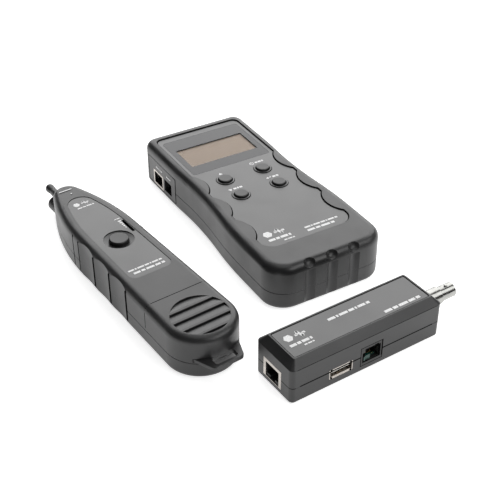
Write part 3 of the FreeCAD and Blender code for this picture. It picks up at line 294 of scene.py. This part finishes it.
def battery_jacket():
    """Printed metal sleeve of a nine volt cell: dark body with pale bands across it."""
    look = Look("battery_jacket", (0.1, 0.1, 0.11), 0.3, Metallic=0.6)
    band = look.node("ShaderNodeSeparateXYZ")
    look.join(look.place, band.inputs[0])
    wave = look.maths("PINGPONG", band.outputs["Y"], BAND_SPACING)
    pale = look.maths("GREATER_THAN", wave, BAND_START)
    scratch = look.remap(look.noise(700, 3, (1, 0.15, 1)), 0.4, 0.7, 0, 0.5)
    base = look.blend(pale, (0.06, 0.065, 0.08), (0.45, 0.44, 0.4))
    look.feed("Base Color", look.blend(scratch, base, (0.3, 0.3, 0.3)))
    look.feed("Roughness", look.remap(scratch, 0, 1, 0.25, 0.5))
    return look.finish()


def clear_lens():
    """Clear, slightly hazy plastic of the lamp."""
    look = Look("lamp_lens", (0.92, 0.95, 0.97), 0.05, Transmission_Weight=0.85, IOR=1.49)
    haze = look.noise(500, 2)
    look.feed("Roughness", look.spread(haze, 0.04, 0.12))
    look.bump(haze, 0.1, 0.02)
    return look.finish()


def ink(name, colour):
    """Pad-printed ink: slightly uneven, with fine duller specks."""
    look = Look(name, colour, 0.5)
    wear = look.remap(look.noise(1600, 3), 0.3, 0.6, 0, 1)
    look.feed("Base Color", look.blend(wear, shade(colour, 0.72), colour))
    look.feed("Roughness", look.remap(wear, 0, 1, 0.6, 0.42))
    look.bump(wear, 0.2, 0.01)
    return look.finish()


def cloth():
    """Dark woven dust screen."""
    look = Look("grille_cloth", (0.008, 0.008, 0.008), 0.95, Specular_IOR_Level=0.2)
    weave = look.node("ShaderNodeTexChecker")
    weave.inputs["Scale"].default_value = 1800
    look.join(look.place, weave.inputs["Vector"])
    look.feed("Base Color", look.blend(weave.outputs["Fac"], (0.004, 0.004, 0.004), (0.02, 0.02, 0.02)))
    look.bump(weave.outputs["Fac"], 0.5, 0.1)
    return look.finish()


def gap():
    """Matt black painted shade for the linings of grooves, seams, gaps and openings, with a faint mottle."""
    look = Look("painted_shade_black", (0.002, 0.002, 0.002), 1.0, Specular_IOR_Level=0.0)
    mottle = look.noise(900, 2)
    look.feed("Base Color", look.blend(mottle, (0.0012, 0.0012, 0.0012), (0.0045, 0.0045, 0.0045)))
    look.bump(mottle, 0.2, 0.02)
    return look.finish()


# Keys are the record's material slots.
FINISHES = {
    "shell_plastic": moulded("shell_plastic", (0.021, 0.021, 0.0215), 0.37, specular=0.52),
    "face_plate": moulded("face_plate", (0.022, 0.022, 0.0225), 0.33, 0.2, 0.004, specular=0.8),
    "smoked_window": smoked_window(),
    "display_glass": display(),
    "key_plastic": moulded("key_plastic", (0.018, 0.018, 0.018), 0.36, grain=0.3, depth=0.006),
    "membrane_rubber": moulded("membrane_rubber", (0.08, 0.08, 0.08), 0.6, grain=0.5),
    "circuit_board": board(),
    "gold_contact": sheet_metal("gold_contact", (0.85, 0.6, 0.26), 0.24, (1, 1, 0.3)),
    "bright_metal": sheet_metal("bright_metal", (0.56, 0.52, 0.48), 0.27, (1, 0.12, 1)),
    "chrome": sheet_metal("chrome", (0.36, 0.36, 0.345), 0.2, (0.25, 1, 1), 1500),
    "white_insulator": moulded("white_insulator", (0.75, 0.73, 0.68), 0.45, grain=0.25, lighten=1.1),
    "screw_steel": sheet_metal("screw_steel", (0.32, 0.32, 0.33), 0.34, (1, 1, 0.2), 1400),
    "battery_jacket": battery_jacket(),
    "black_plastic": moulded("black_plastic", (0.012, 0.012, 0.012), 0.42, grain=0.25),
    "tip_plastic": moulded("tip_plastic", (0.017, 0.017, 0.0175), 0.43, specular=0.6),
    "lamp_lens": clear_lens(),
    "speaker_metal": sheet_metal("speaker_metal", (0.05, 0.05, 0.05), 0.5, (1, 1, 1), 300),
}
INK = ink("pale_ink", (0.88, 0.88, 0.88))
CLOTH = cloth()
# Painted shade: the matt black laid where gaps, grooves, seams and openings fall in shade.
PAINTED_SHADE = gap()


def slot_of(node):
    """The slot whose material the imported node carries."""
    for held in node.data.materials:
        if held is not None and held.name.split(".")[0] in FINISHES:
            return held.name.split(".")[0]
    raise ValueError(f"{node.name} has no known slot")


for node in frame["nodes"].values():
    finish = FINISHES[slot_of(node)]
    for index in range(len(node.data.materials)):
        node.data.materials[index] = finish


# ---- shapes for the small parts ----

def circle(x, y, radius, steps, start=0.0, turn=360.0):
    """Points on a circle, or on an arc of it with both its ends."""
    count = steps if turn >= 360 else steps + 1
    angles = [math.radians(start + turn * n / steps) for n in range(count)]
    return [(x + radius * math.cos(a), y + radius * math.sin(a)) for a in angles]


def stroke(points, width):
    """The outline of a line of some width drawn through points."""
    left, right = [], []
    for n, (x, y) in enumerate(points):
        before = points[max(n - 1, 0)]
        after = points[min(n + 1, len(points) - 1)]
        way = Vector((after[0] - before[0], after[1] - before[1])).normalized()
        side = Vector((-way.y, way.x)) * (width / 2)
        left.append((x + side.x, y + side.y))
        right.append((x - side.x, y - side.y))
    return right + left[::-1]


def bar(x, y, width, height):
    """The outline of a rectangle from its lower left corner."""
    return [(x, y), (x + width, y), (x + width, y + height), (x, y + height)]


TURNED_STEPS = 48
WIRE_SIDES = 8
OFF_AXIS = Vector((0.1, 0.9, 0.3))  # any direction that no wire runs along
SHARP_ANGLE = 35


class Piece:
    """One small part, drawn in its unit's own millimetres and then set in place."""

    def __init__(self, name, unit, slot, finish=None):
        self.name, self.unit, self.slot = name, unit, slot
        self.finish = finish or FINISHES[slot]
        self.bm = bmesh.new()

    def prism(self, outline, low, high):
        """An upright prism over a flat outline."""
        base = [self.bm.verts.new((x, y, low)) for x, y in outline]
        top = [self.bm.verts.new((x, y, high)) for x, y in outline]
        self.bm.faces.new(base[::-1])
        self.bm.faces.new(top)
        self.band(base, top)

    def slab(self, low, high):
        """A box from its lowest to its highest corner."""
        self.prism(bar(low[0], low[1], high[0] - low[0], high[1] - low[1]), low[2], high[2])

    def band(self, first, second):
        """Faces between two closed rings of the same number of vertices."""
        for n in range(len(first)):
            after = (n + 1) % len(first)
            self.bm.faces.new((first[n], first[after], second[after], second[n]))

    def turned(self, profile, x, y):
        """A closed profile of (radius, height) turned about an upright axis."""
        rings = []
        for radius, height in profile:
            ring = []
            for n in range(TURNED_STEPS):
                a = 2 * math.pi * n / TURNED_STEPS
                spot = (x + radius * math.cos(a), y + radius * math.sin(a), height)
                ring.append(self.bm.verts.new(spot))
            rings.append(ring)
        for first, second in zip(rings, rings[1:] + rings[:1]):
            self.band(first, second)

    def wire(self, path, radius):
        """A round wire along a path of points."""
        path = [Vector(p) for p in path]
        rings = []
        for n, spot in enumerate(path):
            way = (path[min(n + 1, len(path) - 1)] - path[max(n - 1, 0)]).normalized()
            side = way.cross(OFF_AXIS).normalized()
            up = side.cross(way)
            ring = []
            for m in range(WIRE_SIDES):
                a = 2 * math.pi * m / WIRE_SIDES
                around = side * math.cos(a) + up * math.sin(a)
                ring.append(self.bm.verts.new(spot + around * radius))
            rings.append(ring)
        for first, second in zip(rings, rings[1:]):
            self.band(first, second)
        self.bm.faces.new(rings[0][::-1])
        self.bm.faces.new(rings[-1])

    def done(self, bevel=0.0, body=None, replaces=()):
        """Makes the object, stands it in its unit's place and lets it ride on a body."""
        bmesh.ops.recalc_face_normals(self.bm, faces=self.bm.faces)
        place, own_body = UNITS[self.unit]
        self.bm.transform(place @ Matrix.Scale(MM, 4))
        mesh = bpy.data.meshes.new(self.name)
        self.bm.to_mesh(mesh)
        self.bm.free()
        mesh.materials.append(self.finish)
        made = bpy.data.objects.new(self.name, mesh)
        bpy.context.scene.collection.objects.link(made)
        mesh.shade_smooth()
        mesh.set_sharp_from_angle(angle=math.radians(SHARP_ANGLE))
        if bevel:
            rounding = made.modifiers.new("rounding", "BEVEL")
            rounding.width = bevel * MM
            rounding.segments = 2
            rounding.limit_method = "ANGLE"
            rounding.harden_normals = True
        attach(made, body or own_body)
        if replaces:
            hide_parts(*replaces)


# ---- printed marks ----

INK_SINK, INK_DEPTH = 0.02, 0.05
# Heights of the flat faces that carry print, in mm.
MAIN_FACE = 31.2
PROBE_FACE = 28.7
PROBE_TOP = 29.3
REMOTE_FACE = 27.7


def printed(name, unit, level, outlines):
    """Thin raised ink on a flat face, one prism over each outline."""
    marks = Piece(name, unit, "key_plastic", INK)
    for outline in outlines:
        marks.prism(outline, level - INK_SINK, level + INK_DEPTH)
    marks.done()


def dashes(x, y, height, lengths, gap=0.7):
    """A row of short bars that stands where small print would be."""
    row = []
    for length in lengths:
        row.append(bar(x, y, length, height))
        x += length + gap
    return row


def emblem(x, y, size):
    """A plain generic sign: a solid six-sided block beside a pulse line."""
    block = circle(x + 0.5 * size, y + 0.5 * size, 0.5 * size, 6)
    pulse = [(1.25, 0.5), (1.5, 0.5), (1.68, 0.95), (1.92, 0.05), (2.1, 0.5), (2.4, 0.5)]
    spots = [(x + px * size, y + py * size) for px, py in pulse]
    return [block] + [stroke(ends, 0.25 * size) for ends in zip(spots, spots[1:])]


def arrow(x, y, size, way):
    """An upright triangle that points up for way 1 and down for way -1."""
    tip = (x, y + way * size)
    return [(x - size, y - way * size * 0.6), (x + size, y - way * size * 0.6), tip][::way]


SIGN_LINE = 0.55  # width of the lines of the power and enter signs


def main_marks():
    up_sign = [arrow(-14, 23.6, 1.5, 1)]
    down_sign = [arrow(-18, 2.6, 1.5, -1)] + dashes(-15.6, 1.8, 1.8, (2.2, 1.4, 2.0), 0.5)
    open_ring = circle(11.3, 24.4, 1.4, 28, 125, 290)
    power_sign = [stroke(open_ring, SIGN_LINE), bar(11.02, 24.6, SIGN_LINE, 1.7)]
    power_sign += dashes(13.9, 23.6, 1.8, (1.8, 2.4, 1.2), 0.5)
    enter_path = [(13.6, 4.4), (13.6, 2.8), (11.5, 2.8)]
    enter_sign = [stroke(ends, SIGN_LINE) for ends in zip(enter_path, enter_path[1:])]
    enter_sign.append([(11.7, 1.6), (11.7, 4.0), (9.9, 2.8)])
    enter_sign += dashes(14.9, 1.9, 1.8, (2.4, 1.6), 0.5)
    printed("main_key_signs", "main", MAIN_FACE, up_sign + down_sign + power_sign + enter_sign)
    printed("main_emblem", "main", MAIN_FACE,
            emblem(-27, -57.5, 6.4)
            + dashes(-26.5, -61.6, 2.2, (4.6, 2.6, 5.2, 1.6))
            + dashes(-17.5, -64.8, 1.1, (2.2, 3.0, 1.4), 0.5))
    printed("main_small_marks", "main", MAIN_FACE,
            dashes(0.5, -60.2, 1.5, (4.2, 1.2, 5.0, 3.2, 1.0, 4.6, 2.0), 0.6)
            + dashes(0.5, -64, 1.9, (5.4, 3.2, 6.6, 2.6), 0.8))


def volume_wedge():
    """Five bars in a wedge that widens towards the tip, beside the thumbwheel."""
    count, bar_share, x, y, length = 5, 0.13, 10.45, 12.4, 10.2
    outlines = []
    for n in range(count):
        high = 1 - n / count
        low = high - bar_share
        outline = []
        for share, side in ((low, -1), (low, 1), (high, 1), (high, -1)):
            outline.append((x + side * (0.25 + 0.95 * share), y + length * share))
        outlines.append(outline)
    return outlines


def probe_marks():
    printed("probe_emblem", "probe", PROBE_FACE,
            emblem(-5.4, 52.2, 4.6) + dashes(-4.6, 49.4, 1.1, (3.4, 2.0, 3.6, 1.4), 0.5))
    printed("probe_small_marks", "probe", PROBE_FACE,
            dashes(-12.6, -28.8, 1.4, (4.0, 1.2, 4.6, 3.0, 1.0, 4.2, 2.0), 0.6)
            + dashes(-10.8, -32.6, 1.8, (4.6, 2.6, 5.6, 3.6, 2.2), 0.8))
    printed("probe_volume_sign", "probe", PROBE_FACE,
            volume_wedge() + dashes(8.4, 24.6, 0.8, (1.4, 2.0), 0.4))
    printed("probe_nose_bar", "probe", PROBE_TOP,
            [bar(-6, 73.2, 9.4, 0.9), circle(0.4, 68.3, 0.6, 16)])


def remote_marks():
    printed("remote_emblem", "remote", REMOTE_FACE,
            emblem(-45, 0.4, 6.0)
            + dashes(-45, -3.8, 2.0, (4.2, 2.4, 4.8, 1.4))
            + dashes(-37.5, -6.4, 1.0, (2.0, 2.6, 1.2), 0.5))
    printed("remote_middle_marks", "remote", REMOTE_FACE,
            dashes(-14, 3.0, 1.9, (5.2, 1.4, 6.0, 3.8, 1.2, 5.4, 2.4), 0.8))
    printed("remote_right_marks", "remote", REMOTE_FACE,
            dashes(17.5, -9.4, 2.0, (5.4, 3.4, 6.6, 4.6, 2.8), 0.9))


# ---- parts round the keys, the grille and the sockets ----

KEY_SPOTS = [(-14.7, 15.3), (14.7, 15.3), (-14.7, -6), (14.7, -6)]
# Profiles as (radius, height); both start just under the faceplate's top.
COLLAR_PROFILE = [(5.15, 31.1), (5.15, 31.62), (5.22, 31.7), (5.98, 31.7), (6.05, 31.62), (6.05, 31.1)]
# The second profile is a black ring of painted shade round each key.
SHADE_RING_PROFILE = [(4.9, 31.1), (4.9, 31.24), (6.45, 31.24), (6.45, 31.1)]


def key_collars():
    """A low rounded ring round each key, on a slightly wider black ring of painted shade that shows at both
    edges.
    """
    collars = Piece("main_key_collars", "main", "face_plate")
    shade_rings = Piece("main_key_shade_rings", "main", "black_plastic", PAINTED_SHADE)
    for x, y in KEY_SPOTS:
        collars.turned(COLLAR_PROFILE, x, y)
        shade_rings.turned(SHADE_RING_PROFILE, x, y)
    collars.done()
    shade_rings.done()


def face_loop(node, unit, level):
    """The longest edge loop round a node's flat top, as points in millimetres."""
    flat = 0.01
    mesh = frame["nodes"][node].data
    back = UNITS[unit][0].inverted()
    spots = {v.index: tuple(round(c / MM, 3) for c in back @ v.co) for v in mesh.vertices}
    edges = {}  # a dict and not a set, so that every run walks the edges in the same order
    for face in mesh.polygons:
        corners = [spots[i] for i in face.vertices]
        if all(abs(c[2] - level) < flat for c in corners):
            for a, b in zip(corners, corners[1:] + corners[:1]):
                edges[(a, b)] = True
    onward = {a: b for a, b in edges if (b, a) not in edges}
    loops = []
    while onward:
        start, point = onward.popitem()
        loop = [start]
        while point in onward:
            loop.append(point)
            point = onward.pop(point)
        loops.append(loop)
    return max(loops, key=len)


def plate_edge_shade(name, unit, node, face, width):
    """Painted shade: a thin black line laid over the edge of a plate, where it meets the rim of its recess.
    """
    low, high = face - 0.05, face + 0.03
    overhang = 0.12
    loop = [Vector(p[:2]) for p in face_loop(node, unit, face)]
    outer, inner = [], []
    for n, spot in enumerate(loop):
        way = (loop[(n + 1) % len(loop)] - loop[n - 1]).normalized()
        inward = Vector((-way.y, way.x))
        outer.append(spot - inward * overhang)
        inner.append(spot + inward * width)
    # Painted shade along the plate's edge, where the recess wall falls dark.
    shade_strip = Piece(name, unit, "membrane_rubber", PAINTED_SHADE)
    rails = []
    for line, level in ((outer, low), (inner, low), (inner, high), (outer, high)):
        rails.append([shade_strip.bm.verts.new((p.x, p.y, level)) for p in line])
    for first, second in zip(rails, rails[1:] + rails[:1]):
        shade_strip.band(first, second)
    shade_strip.done()


RIB_PLACES = (28.9, 21.1, 0.9, -19.3, -39.8)
NOSE_RIBS_FROM = 10  # ribs beyond this y have the narrower strips of painted shade
RIB_LOW, RIB_HIGH = 3.3, 25.4


def cast(shell, place, spot, way):
    """Where a ray in a unit's millimetres meets a shell, in the same millimetres, or None."""
    hit, where, _, _ = shell.ray_cast(place @ (spot * MM), (place.to_3x3() @ way).normalized())
    return place.inverted() @ where / MM if hit else None


def shade_rib_grooves():
    """Black strips of painted shade that line the upright grooves down both sides of the probe."""
    groove_shade = Piece("probe_rib_groove_shades", "probe", "black_plastic", PAINTED_SHADE)
    place = UNITS["probe"][0]
    shells = [frame["nodes"][n] for n in ("probe_top_shell", "probe_bottom_shell")]
    for y in RIB_PLACES:
        for side in (-1, 1):
            hits = [cast(shell, place, Vector((side * 40, y, height)), Vector((-side, 0, 0)))
                    for shell, height in zip(shells, (18, 8))]
            floor_x = min(abs(spot.x) for spot in hits if spot is not None)
            proud, half_width = (0.72, 0.59) if y > NOSE_RIBS_FROM else (0.92, 0.8)
            ends = sorted((side * (floor_x - 0.05), side * (floor_x + proud)))
            groove_shade.slab((ends[0], y - half_width, RIB_LOW), (ends[1], y + half_width, RIB_HIGH))
    groove_shade.done()


def tail_cover_shade_line():
    """Painted shade: a black line where the tail cover meets the top shell, laid over the housing's section.
    """
    y, middle, half_width, steps, outside = -62.3, 13.0, 0.24, 60, 50
    proud, sunk = 0.025, -0.3
    place = UNITS["probe"][0]
    shell = frame["nodes"]["probe_top_shell"]
    points = []
    for n in range(steps + 1):
        a = math.pi * n / steps
        way = Vector((math.cos(a), 0, math.sin(a)))
        spot = cast(shell, place, Vector((0, y + 0.5, middle)) + way * outside, -way)
        if spot is not None:
            points.append((Vector((spot.x, 0, spot.z)), way))
    seam = Piece("probe_tail_cover_shade_line", "probe", "black_plastic", PAINTED_SHADE)
    rails = []
    for offset, rise in ((-half_width, proud), (half_width, proud), (half_width, sunk), (-half_width, sunk)):
        rails.append([seam.bm.verts.new(p + w * rise + Vector((0, y + offset, 0))) for p, w in points])
    for first, second in zip(rails, rails[1:] + rails[:1]):
        for n in range(len(points) - 1):
            seam.bm.faces.new((first[n], first[n + 1], second[n + 1], second[n]))
    for end in (0, -1):
        seam.bm.faces.new([rail[end] for rail in rails])
    seam.done()


def frame_bars(piece, low, high, width, face, depth, way):
    """Four bars round a rectangle on an upright wall; way is the wall's axis."""
    (a0, c0), (a1, c1) = low, high
    ends = sorted((face, face + depth))
    inner_low, inner_high = c0 + width, c1 - width
    for a, b, c, d in ((a0, a1, c0, inner_low), (a0, a1, inner_high, c1),
                       (a0, a0 + width, inner_low, inner_high), (a1 - width, a1, inner_low, inner_high)):
        if way == "x":
            piece.slab((ends[0], a, c), (ends[1], b, d))
        else:
            piece.slab((a, ends[0], c), (b, ends[1], d))


def jack_shade_outlines():
    """Black lines of painted shade round the phone jack of the remote and the port panel of the main tester.
    """
    remote = Piece("remote_phone_gap_shade", "remote", "black_plastic", PAINTED_SHADE)
    frame_bars(remote, (-5.9, 3.8), (10.3, 17.4), 0.4, -17.27, 0.3, "y")
    remote.slab((9.4, -17.29, 5.6), (10.3, -17.0, 17.2))
    remote.done()
    main = Piece("main_panel_gap_shade", "main", "black_plastic", PAINTED_SHADE)
    frame_bars(main, (43.1, 3.9), (84.3, 23.9), 0.45, -39.02, 0.3, "x")
    main.done()


def jack_mouth_shade():
    """Painted shade: black slabs that make the stepped mouth round the remote's phone jack opening."""
    mouth = Piece("remote_jack_mouth_shade", "remote", "black_plastic", PAINTED_SHADE)
    front, back = -17.29, -17.0
    for x0, x1, z0, z1 in ((-4.4, -2.75, 6.0, 13.2), (7.15, 8.6, 6.0, 15.2), (-2.75, 7.15, 6.0, 7.15),
                           (-2.6, 0.1, 14.05, 15.6), (4.3, 7.15, 14.05, 16.0)):
        mouth.slab((x0, front, z0), (x1, back, z1))
    mouth.done()


def remote_seam_shades():
    """Black lines of painted shade at the parting of the housing and along the lower edge of its front
    bevel.
    """
    seams = Piece("remote_seam_shades", "remote", "black_plastic", PAINTED_SHADE)
    level, x_wall, y_wall, corner, thick = 10.8, 54.14, 17.24, 3, 0.3
    low, high = level - 0.3, level + 0.3
    for x0, x1 in ((-48, -5.9), (10.3, 48)):
        seams.slab((x0, -y_wall - 0.025, level - 0.4), (x1, -y_wall + thick, level + 0.4))
    seams.slab((-50.5, -y_wall - 0.02, 23.2), (50.5, -y_wall + thick, 23.48))
    seams.slab((-51, y_wall - thick, low), (51, y_wall, high))
    for y0, y1 in ((-14.2, -7.5), (9.9, 14.2)):
        seams.slab((-x_wall, y0, low), (-x_wall + thick, y1, high))
    for y0, y1 in ((-14.2, -7.5), (7.5, 14.2)):
        seams.slab((x_wall - thick, y0, low), (x_wall, y1, high))
    for x, y, start in ((1, 1, 0), (-1, 1, 90), (-1, -1, 180), (1, -1, 270)):
        spot = (x * (x_wall - corner), y * (y_wall - corner))
        bend = circle(*spot, corner - thick / 2, 12, start, 90)
        seams.prism(stroke(bend, thick), low, high)
    seams.done()


def usb_lips():
    """A bright lower lip, and black squares of painted shade in the corners of the mouth of the remote's USB
    socket.
    """
    lips = Piece("remote_usb_lip", "remote", "bright_metal")
    lips.slab((-26.6, -17.2, 5.5), (-12.8, -14.6, 6.7))
    lips.done(bevel=0.1)
    corner_shades = Piece("remote_usb_corner_shades", "remote", "black_plastic", PAINTED_SHADE)
    size = 1.3
    for x in (-27.2, -13.5):
        for z in (5.0, 10.9):
            corner_shades.slab((x, -17.3, z), (x + size, -16.9, z + size))
    corner_shades.done()


def panel_marks():
    """Small generic print above the two sockets of the side panel."""
    marks = Piece("main_panel_marks", "main", "key_plastic", INK)
    low, high, space = 18.6, 19.7, 0.5
    for y, lengths in ((63.4, (2.0, 1.2, 2.8, 1.6)), (50.6, (1.6, 2.4, 1.2))):
        for length in lengths:
            marks.slab((-39.05, y, low), (-38.95, y + length, high))
            y += length + space
    marks.done()


def grille_cloth():
    """A flat round dust screen under the louvres."""
    sheet = Piece("probe_grille_cloth", "probe", "black_plastic", CLOTH)
    sheet.prism(circle(0, -87, 16.6, 64), 24.1, 24.3)
    sheet.done()


SPRING_PITCH = 1.02
SPRING_RADIUS = 0.17
# Unit, jack, number of springs, where they start, the middle of the row, the heights of their
# inner and outer ends, the axis they run along, and how far in they reach.
SPRING_ROWS = (
    ("main", "network", 8, -34.2, 69.3, 10.4, 13.0, "x", 9.0),
    ("main", "phone", 6, -34.2, 54.8, 10.4, 7.5, "x", 9.0),
    ("remote", "network", 8, -51.8, 1.2, 10.1, 12.7, "x", 9.0),
    ("remote", "phone", 6, -15.4, 2.2, 10.8, 7.9, "y", 8.0),
)


def spring(start, across, inner, outer, way, reach):
    """The path of one bent contact spring, from near the mouth of its jack inwards."""
    points = [
        (0.4, outer), (0.9, outer + 0.05), (1.6, outer - 0.1), (2.4, outer - 0.55),
        (reach * 0.62, inner + 0.5), (reach * 0.74, inner + 0.1), (reach * 0.84, inner), (reach, inner),
    ]
    if way == "x":
        return [(start + d, across, z) for d, z in points]
    return [(across, start + d, z) for d, z in points]


def springs():
    for unit, jack, count, start, middle, inner, outer, way, reach in SPRING_ROWS:
        row = Piece(f"{unit}_{jack}_springs", unit, "gold_contact")
        for n in range(count):
            across = middle + (n - (count - 1) / 2) * SPRING_PITCH
            row.wire(spring(start, across, inner, outer, way, reach), SPRING_RADIUS)
        row.done(replaces=(f"{unit}_{jack}_jack_contacts",))


def phone_insert():
    """The dark green block at the bottom of the remote's phone jack."""
    look = Look("green_insert", (0.01, 0.09, 0.065), 0.35)
    mottle = look.noise(300, 2)
    look.feed("Base Color", look.blend(mottle, (0.003, 0.035, 0.026), (0.007, 0.06, 0.044)))
    look.feed("Roughness", look.spread(mottle, 0.28, 0.45))
    block = Piece("remote_phone_insert", "remote", "black_plastic", look.finish())
    block.slab((-2.7, -16.9, 7.25), (1.4, -15.2, 10.2))
    block.slab((-2.7, -15.2, 7.25), (6.0, -13.6, 7.9))
    block.slab((-3.6, -17.33, 7.2), (-2.6, -16.9, 10.2))
    block.slab((-2.4, -17.0, 7.3), (1.0, -16.8, 7.75))
    block.done(bevel=0.15)


USB_CONTACTS = ((-3.5, 0.6), (-1.0, 1.4), (1.0, 1.4), (3.5, 0.6))  # offset, distance behind the mouth
USB_TAB_PATH = ((0.8, 0), (2.5, 0.35), (4.2, 0.7), (5.6, 0.75), (6.6, 0.35))  # depth, rise
USB_TAB_THICK = 0.22


def usb_contacts(name, unit, x, face, low, way):
    """Four flat contacts on the underside of a USB socket's tongue."""
    strips = Piece(name, unit, "gold_contact")
    half_width, reach = 0.5, 8.5
    for offset, behind in USB_CONTACTS:
        ends = sorted((face + way * behind, face + way * reach))
        strips.slab((x + offset - half_width, ends[0], low - 0.12),
                    (x + offset + half_width, ends[1], low + 0.02))
    strips.done(bevel=0.05)


def usb_tabs(name, unit, x, face, levels, way):
    """Sprung tabs bent inwards from a USB socket's shell, two at each level."""
    tabs = Piece(name, unit, "bright_metal")
    half_width = 1.1
    for level, bend in levels:
        for offset in (-3.0, 3.0):
            for (a, rise_a), (b, rise_b) in zip(USB_TAB_PATH, USB_TAB_PATH[1:]):
                near, far = face + way * a, face + way * b
                quad = [
                    (near, level + bend * rise_a), (far, level + bend * rise_b),
                    (far, level + bend * (rise_b + USB_TAB_THICK)),
                    (near, level + bend * (rise_a + USB_TAB_THICK)),
                ]
                left = [tabs.bm.verts.new((x + offset - half_width, y, z)) for y, z in quad]
                right = [tabs.bm.verts.new((x + offset + half_width, y, z)) for y, z in quad]
                tabs.bm.faces.new(left)
                tabs.bm.faces.new(right[::-1])
                tabs.band(left, right)
    tabs.done()


def side_jack_frame():
    """The shield's front edge, folded out round the network opening in the side panel."""
    edge = Piece("main_side_jack_frame", "main", "bright_metal")
    frame_bars(edge, (62.0, 4.6), (76.6, 15.8), 1.2, -39.12, 0.5, "x")
    edge.done(bevel=0.08)


def details():
    main_marks()
    probe_marks()
    remote_marks()
    key_collars()
    plate_edge_shade("main_plate_edge_shade", "main", "main_faceplate", MAIN_FACE, 0.7)
    plate_edge_shade("remote_plate_edge_shade", "remote", "remote_faceplate", REMOTE_FACE, 0.45)
    shade_rib_grooves()
    tail_cover_shade_line()
    jack_shade_outlines()
    jack_mouth_shade()
    remote_seam_shades()
    usb_lips()
    panel_marks()
    grille_cloth()
    springs()
    phone_insert()
    usb_contacts("main_usb_contacts", "main", 15, 92, 13.0, -1)
    usb_contacts("remote_usb_contacts", "remote", -19.7, -16.8, 9.0, 1)
    usb_tabs("main_usb_tabs", "main", 15, 92, ((9.7, 1), (15.3, -1)), -1)
    usb_tabs("remote_usb_tabs", "remote", -19.7, -16.8, ((5.7, 1), (11.3, -1)), 1)
    side_jack_frame()


details()


# ---- floor, light and camera ----

PANEL_TARGET = Vector((-0.02, -0.03, 0.02))
# Name, direction from the object, distance, width and height in metres, radiance.
PANELS = (
    ("back_panel", (0.40, 0.62, 0.50), 1.5, 2.2, 1.5, 2.9),
    ("top_panel", (0, 0, 1), 1.4, 1.0, 1.0, 1.2),
    ("front_panel", (0.42, -0.6, 0.66), 1.5, 1.5, 0.8, 2.6),
)


def floor():
    """A plain white floor just under the object, lit a little from within to stay white."""
    mesh = bpy.data.meshes.new("floor")
    half, low = 6, -0.0003
    corners = [(-half, -half, low), (half, -half, low), (half, half, low), (-half, half, low)]
    mesh.from_pydata(corners, [], [(0, 1, 2, 3)])
    plane = bpy.data.objects.new("floor", mesh)
    bpy.context.scene.collection.objects.link(plane)
    look = Look("floor_white", (0.86, 0.86, 0.86), 0.75, Specular_IOR_Level=0.1)
    look.set("Emission Color", (1, 1, 1, 1))
    look.set("Emission Strength", 0.75)
    mottle = look.spread(look.noise(6, 2), 0, 1)
    look.feed("Base Color", look.blend(mottle, (0.86, 0.86, 0.86), (0.875, 0.875, 0.875)))
    mesh.materials.append(look.finish())


def panel(name, direction, distance, width, height, radiance):
    """A rectangular softbox that faces the object; radiance is how bright its face looks."""
    light = bpy.data.lights.new(name, "AREA")
    light.shape = "RECTANGLE"
    light.size = width
    light.size_y = height
    light.energy = radiance * math.pi * width * height
    lamp = bpy.data.objects.new(name, light)
    way = Vector(direction).normalized()
    lamp.location = PANEL_TARGET + way * distance
    lamp.rotation_euler = (-way).to_track_quat("-Z", "Y").to_euler()
    bpy.context.scene.collection.objects.link(lamp)


def surroundings(seen, felt):
    """A plain backdrop: seen is its brightness for the camera, felt its brightness as light."""
    world = bpy.data.worlds.new("studio")
    world.use_nodes = True
    bpy.context.scene.world = world
    tree = world.node_tree
    path = tree.nodes.new("ShaderNodeLightPath")
    mix = tree.nodes.new("ShaderNodeMixShader")
    dim = tree.nodes["Background"]
    bright = tree.nodes.new("ShaderNodeBackground")
    dim.inputs["Color"].default_value = (felt, felt, felt, 1)
    bright.inputs["Color"].default_value = (seen, seen, seen, 1)
    tree.links.new(path.outputs["Is Camera Ray"], mix.inputs["Fac"])
    tree.links.new(dim.outputs[0], mix.inputs[1])
    tree.links.new(bright.outputs[0], mix.inputs[2])
    tree.links.new(mix.outputs[0], tree.nodes["World Output"].inputs["Surface"])


def camera():
    """Looks down at 36 degrees from the grip end, a little to the left."""
    azimuth = math.radians(-30.615)
    elevation = math.radians(35.884)
    distance = 0.7038
    target = Vector((-0.019523, -0.025487, 0))
    away = Vector((
        math.sin(azimuth) * math.cos(elevation),
        -math.cos(azimuth) * math.cos(elevation),
        math.sin(elevation),
    ))
    data = bpy.data.cameras.new("camera")
    data.sensor_width = 36
    data.lens = 76.33
    data.clip_start = 0.01
    seat = bpy.data.objects.new("camera", data)
    seat.location = target + away * distance
    seat.rotation_euler = (-away).to_track_quat("-Z", "Y").to_euler()
    bpy.context.scene.collection.objects.link(seat)
    bpy.context.scene.camera = seat


def studio():
    floor()
    surroundings(1.0, 0.05)
    for values in PANELS:
        panel(*values)
    camera()
    view = bpy.context.scene.view_settings
    view.view_transform = "Standard"
    view.look = "None"


studio()
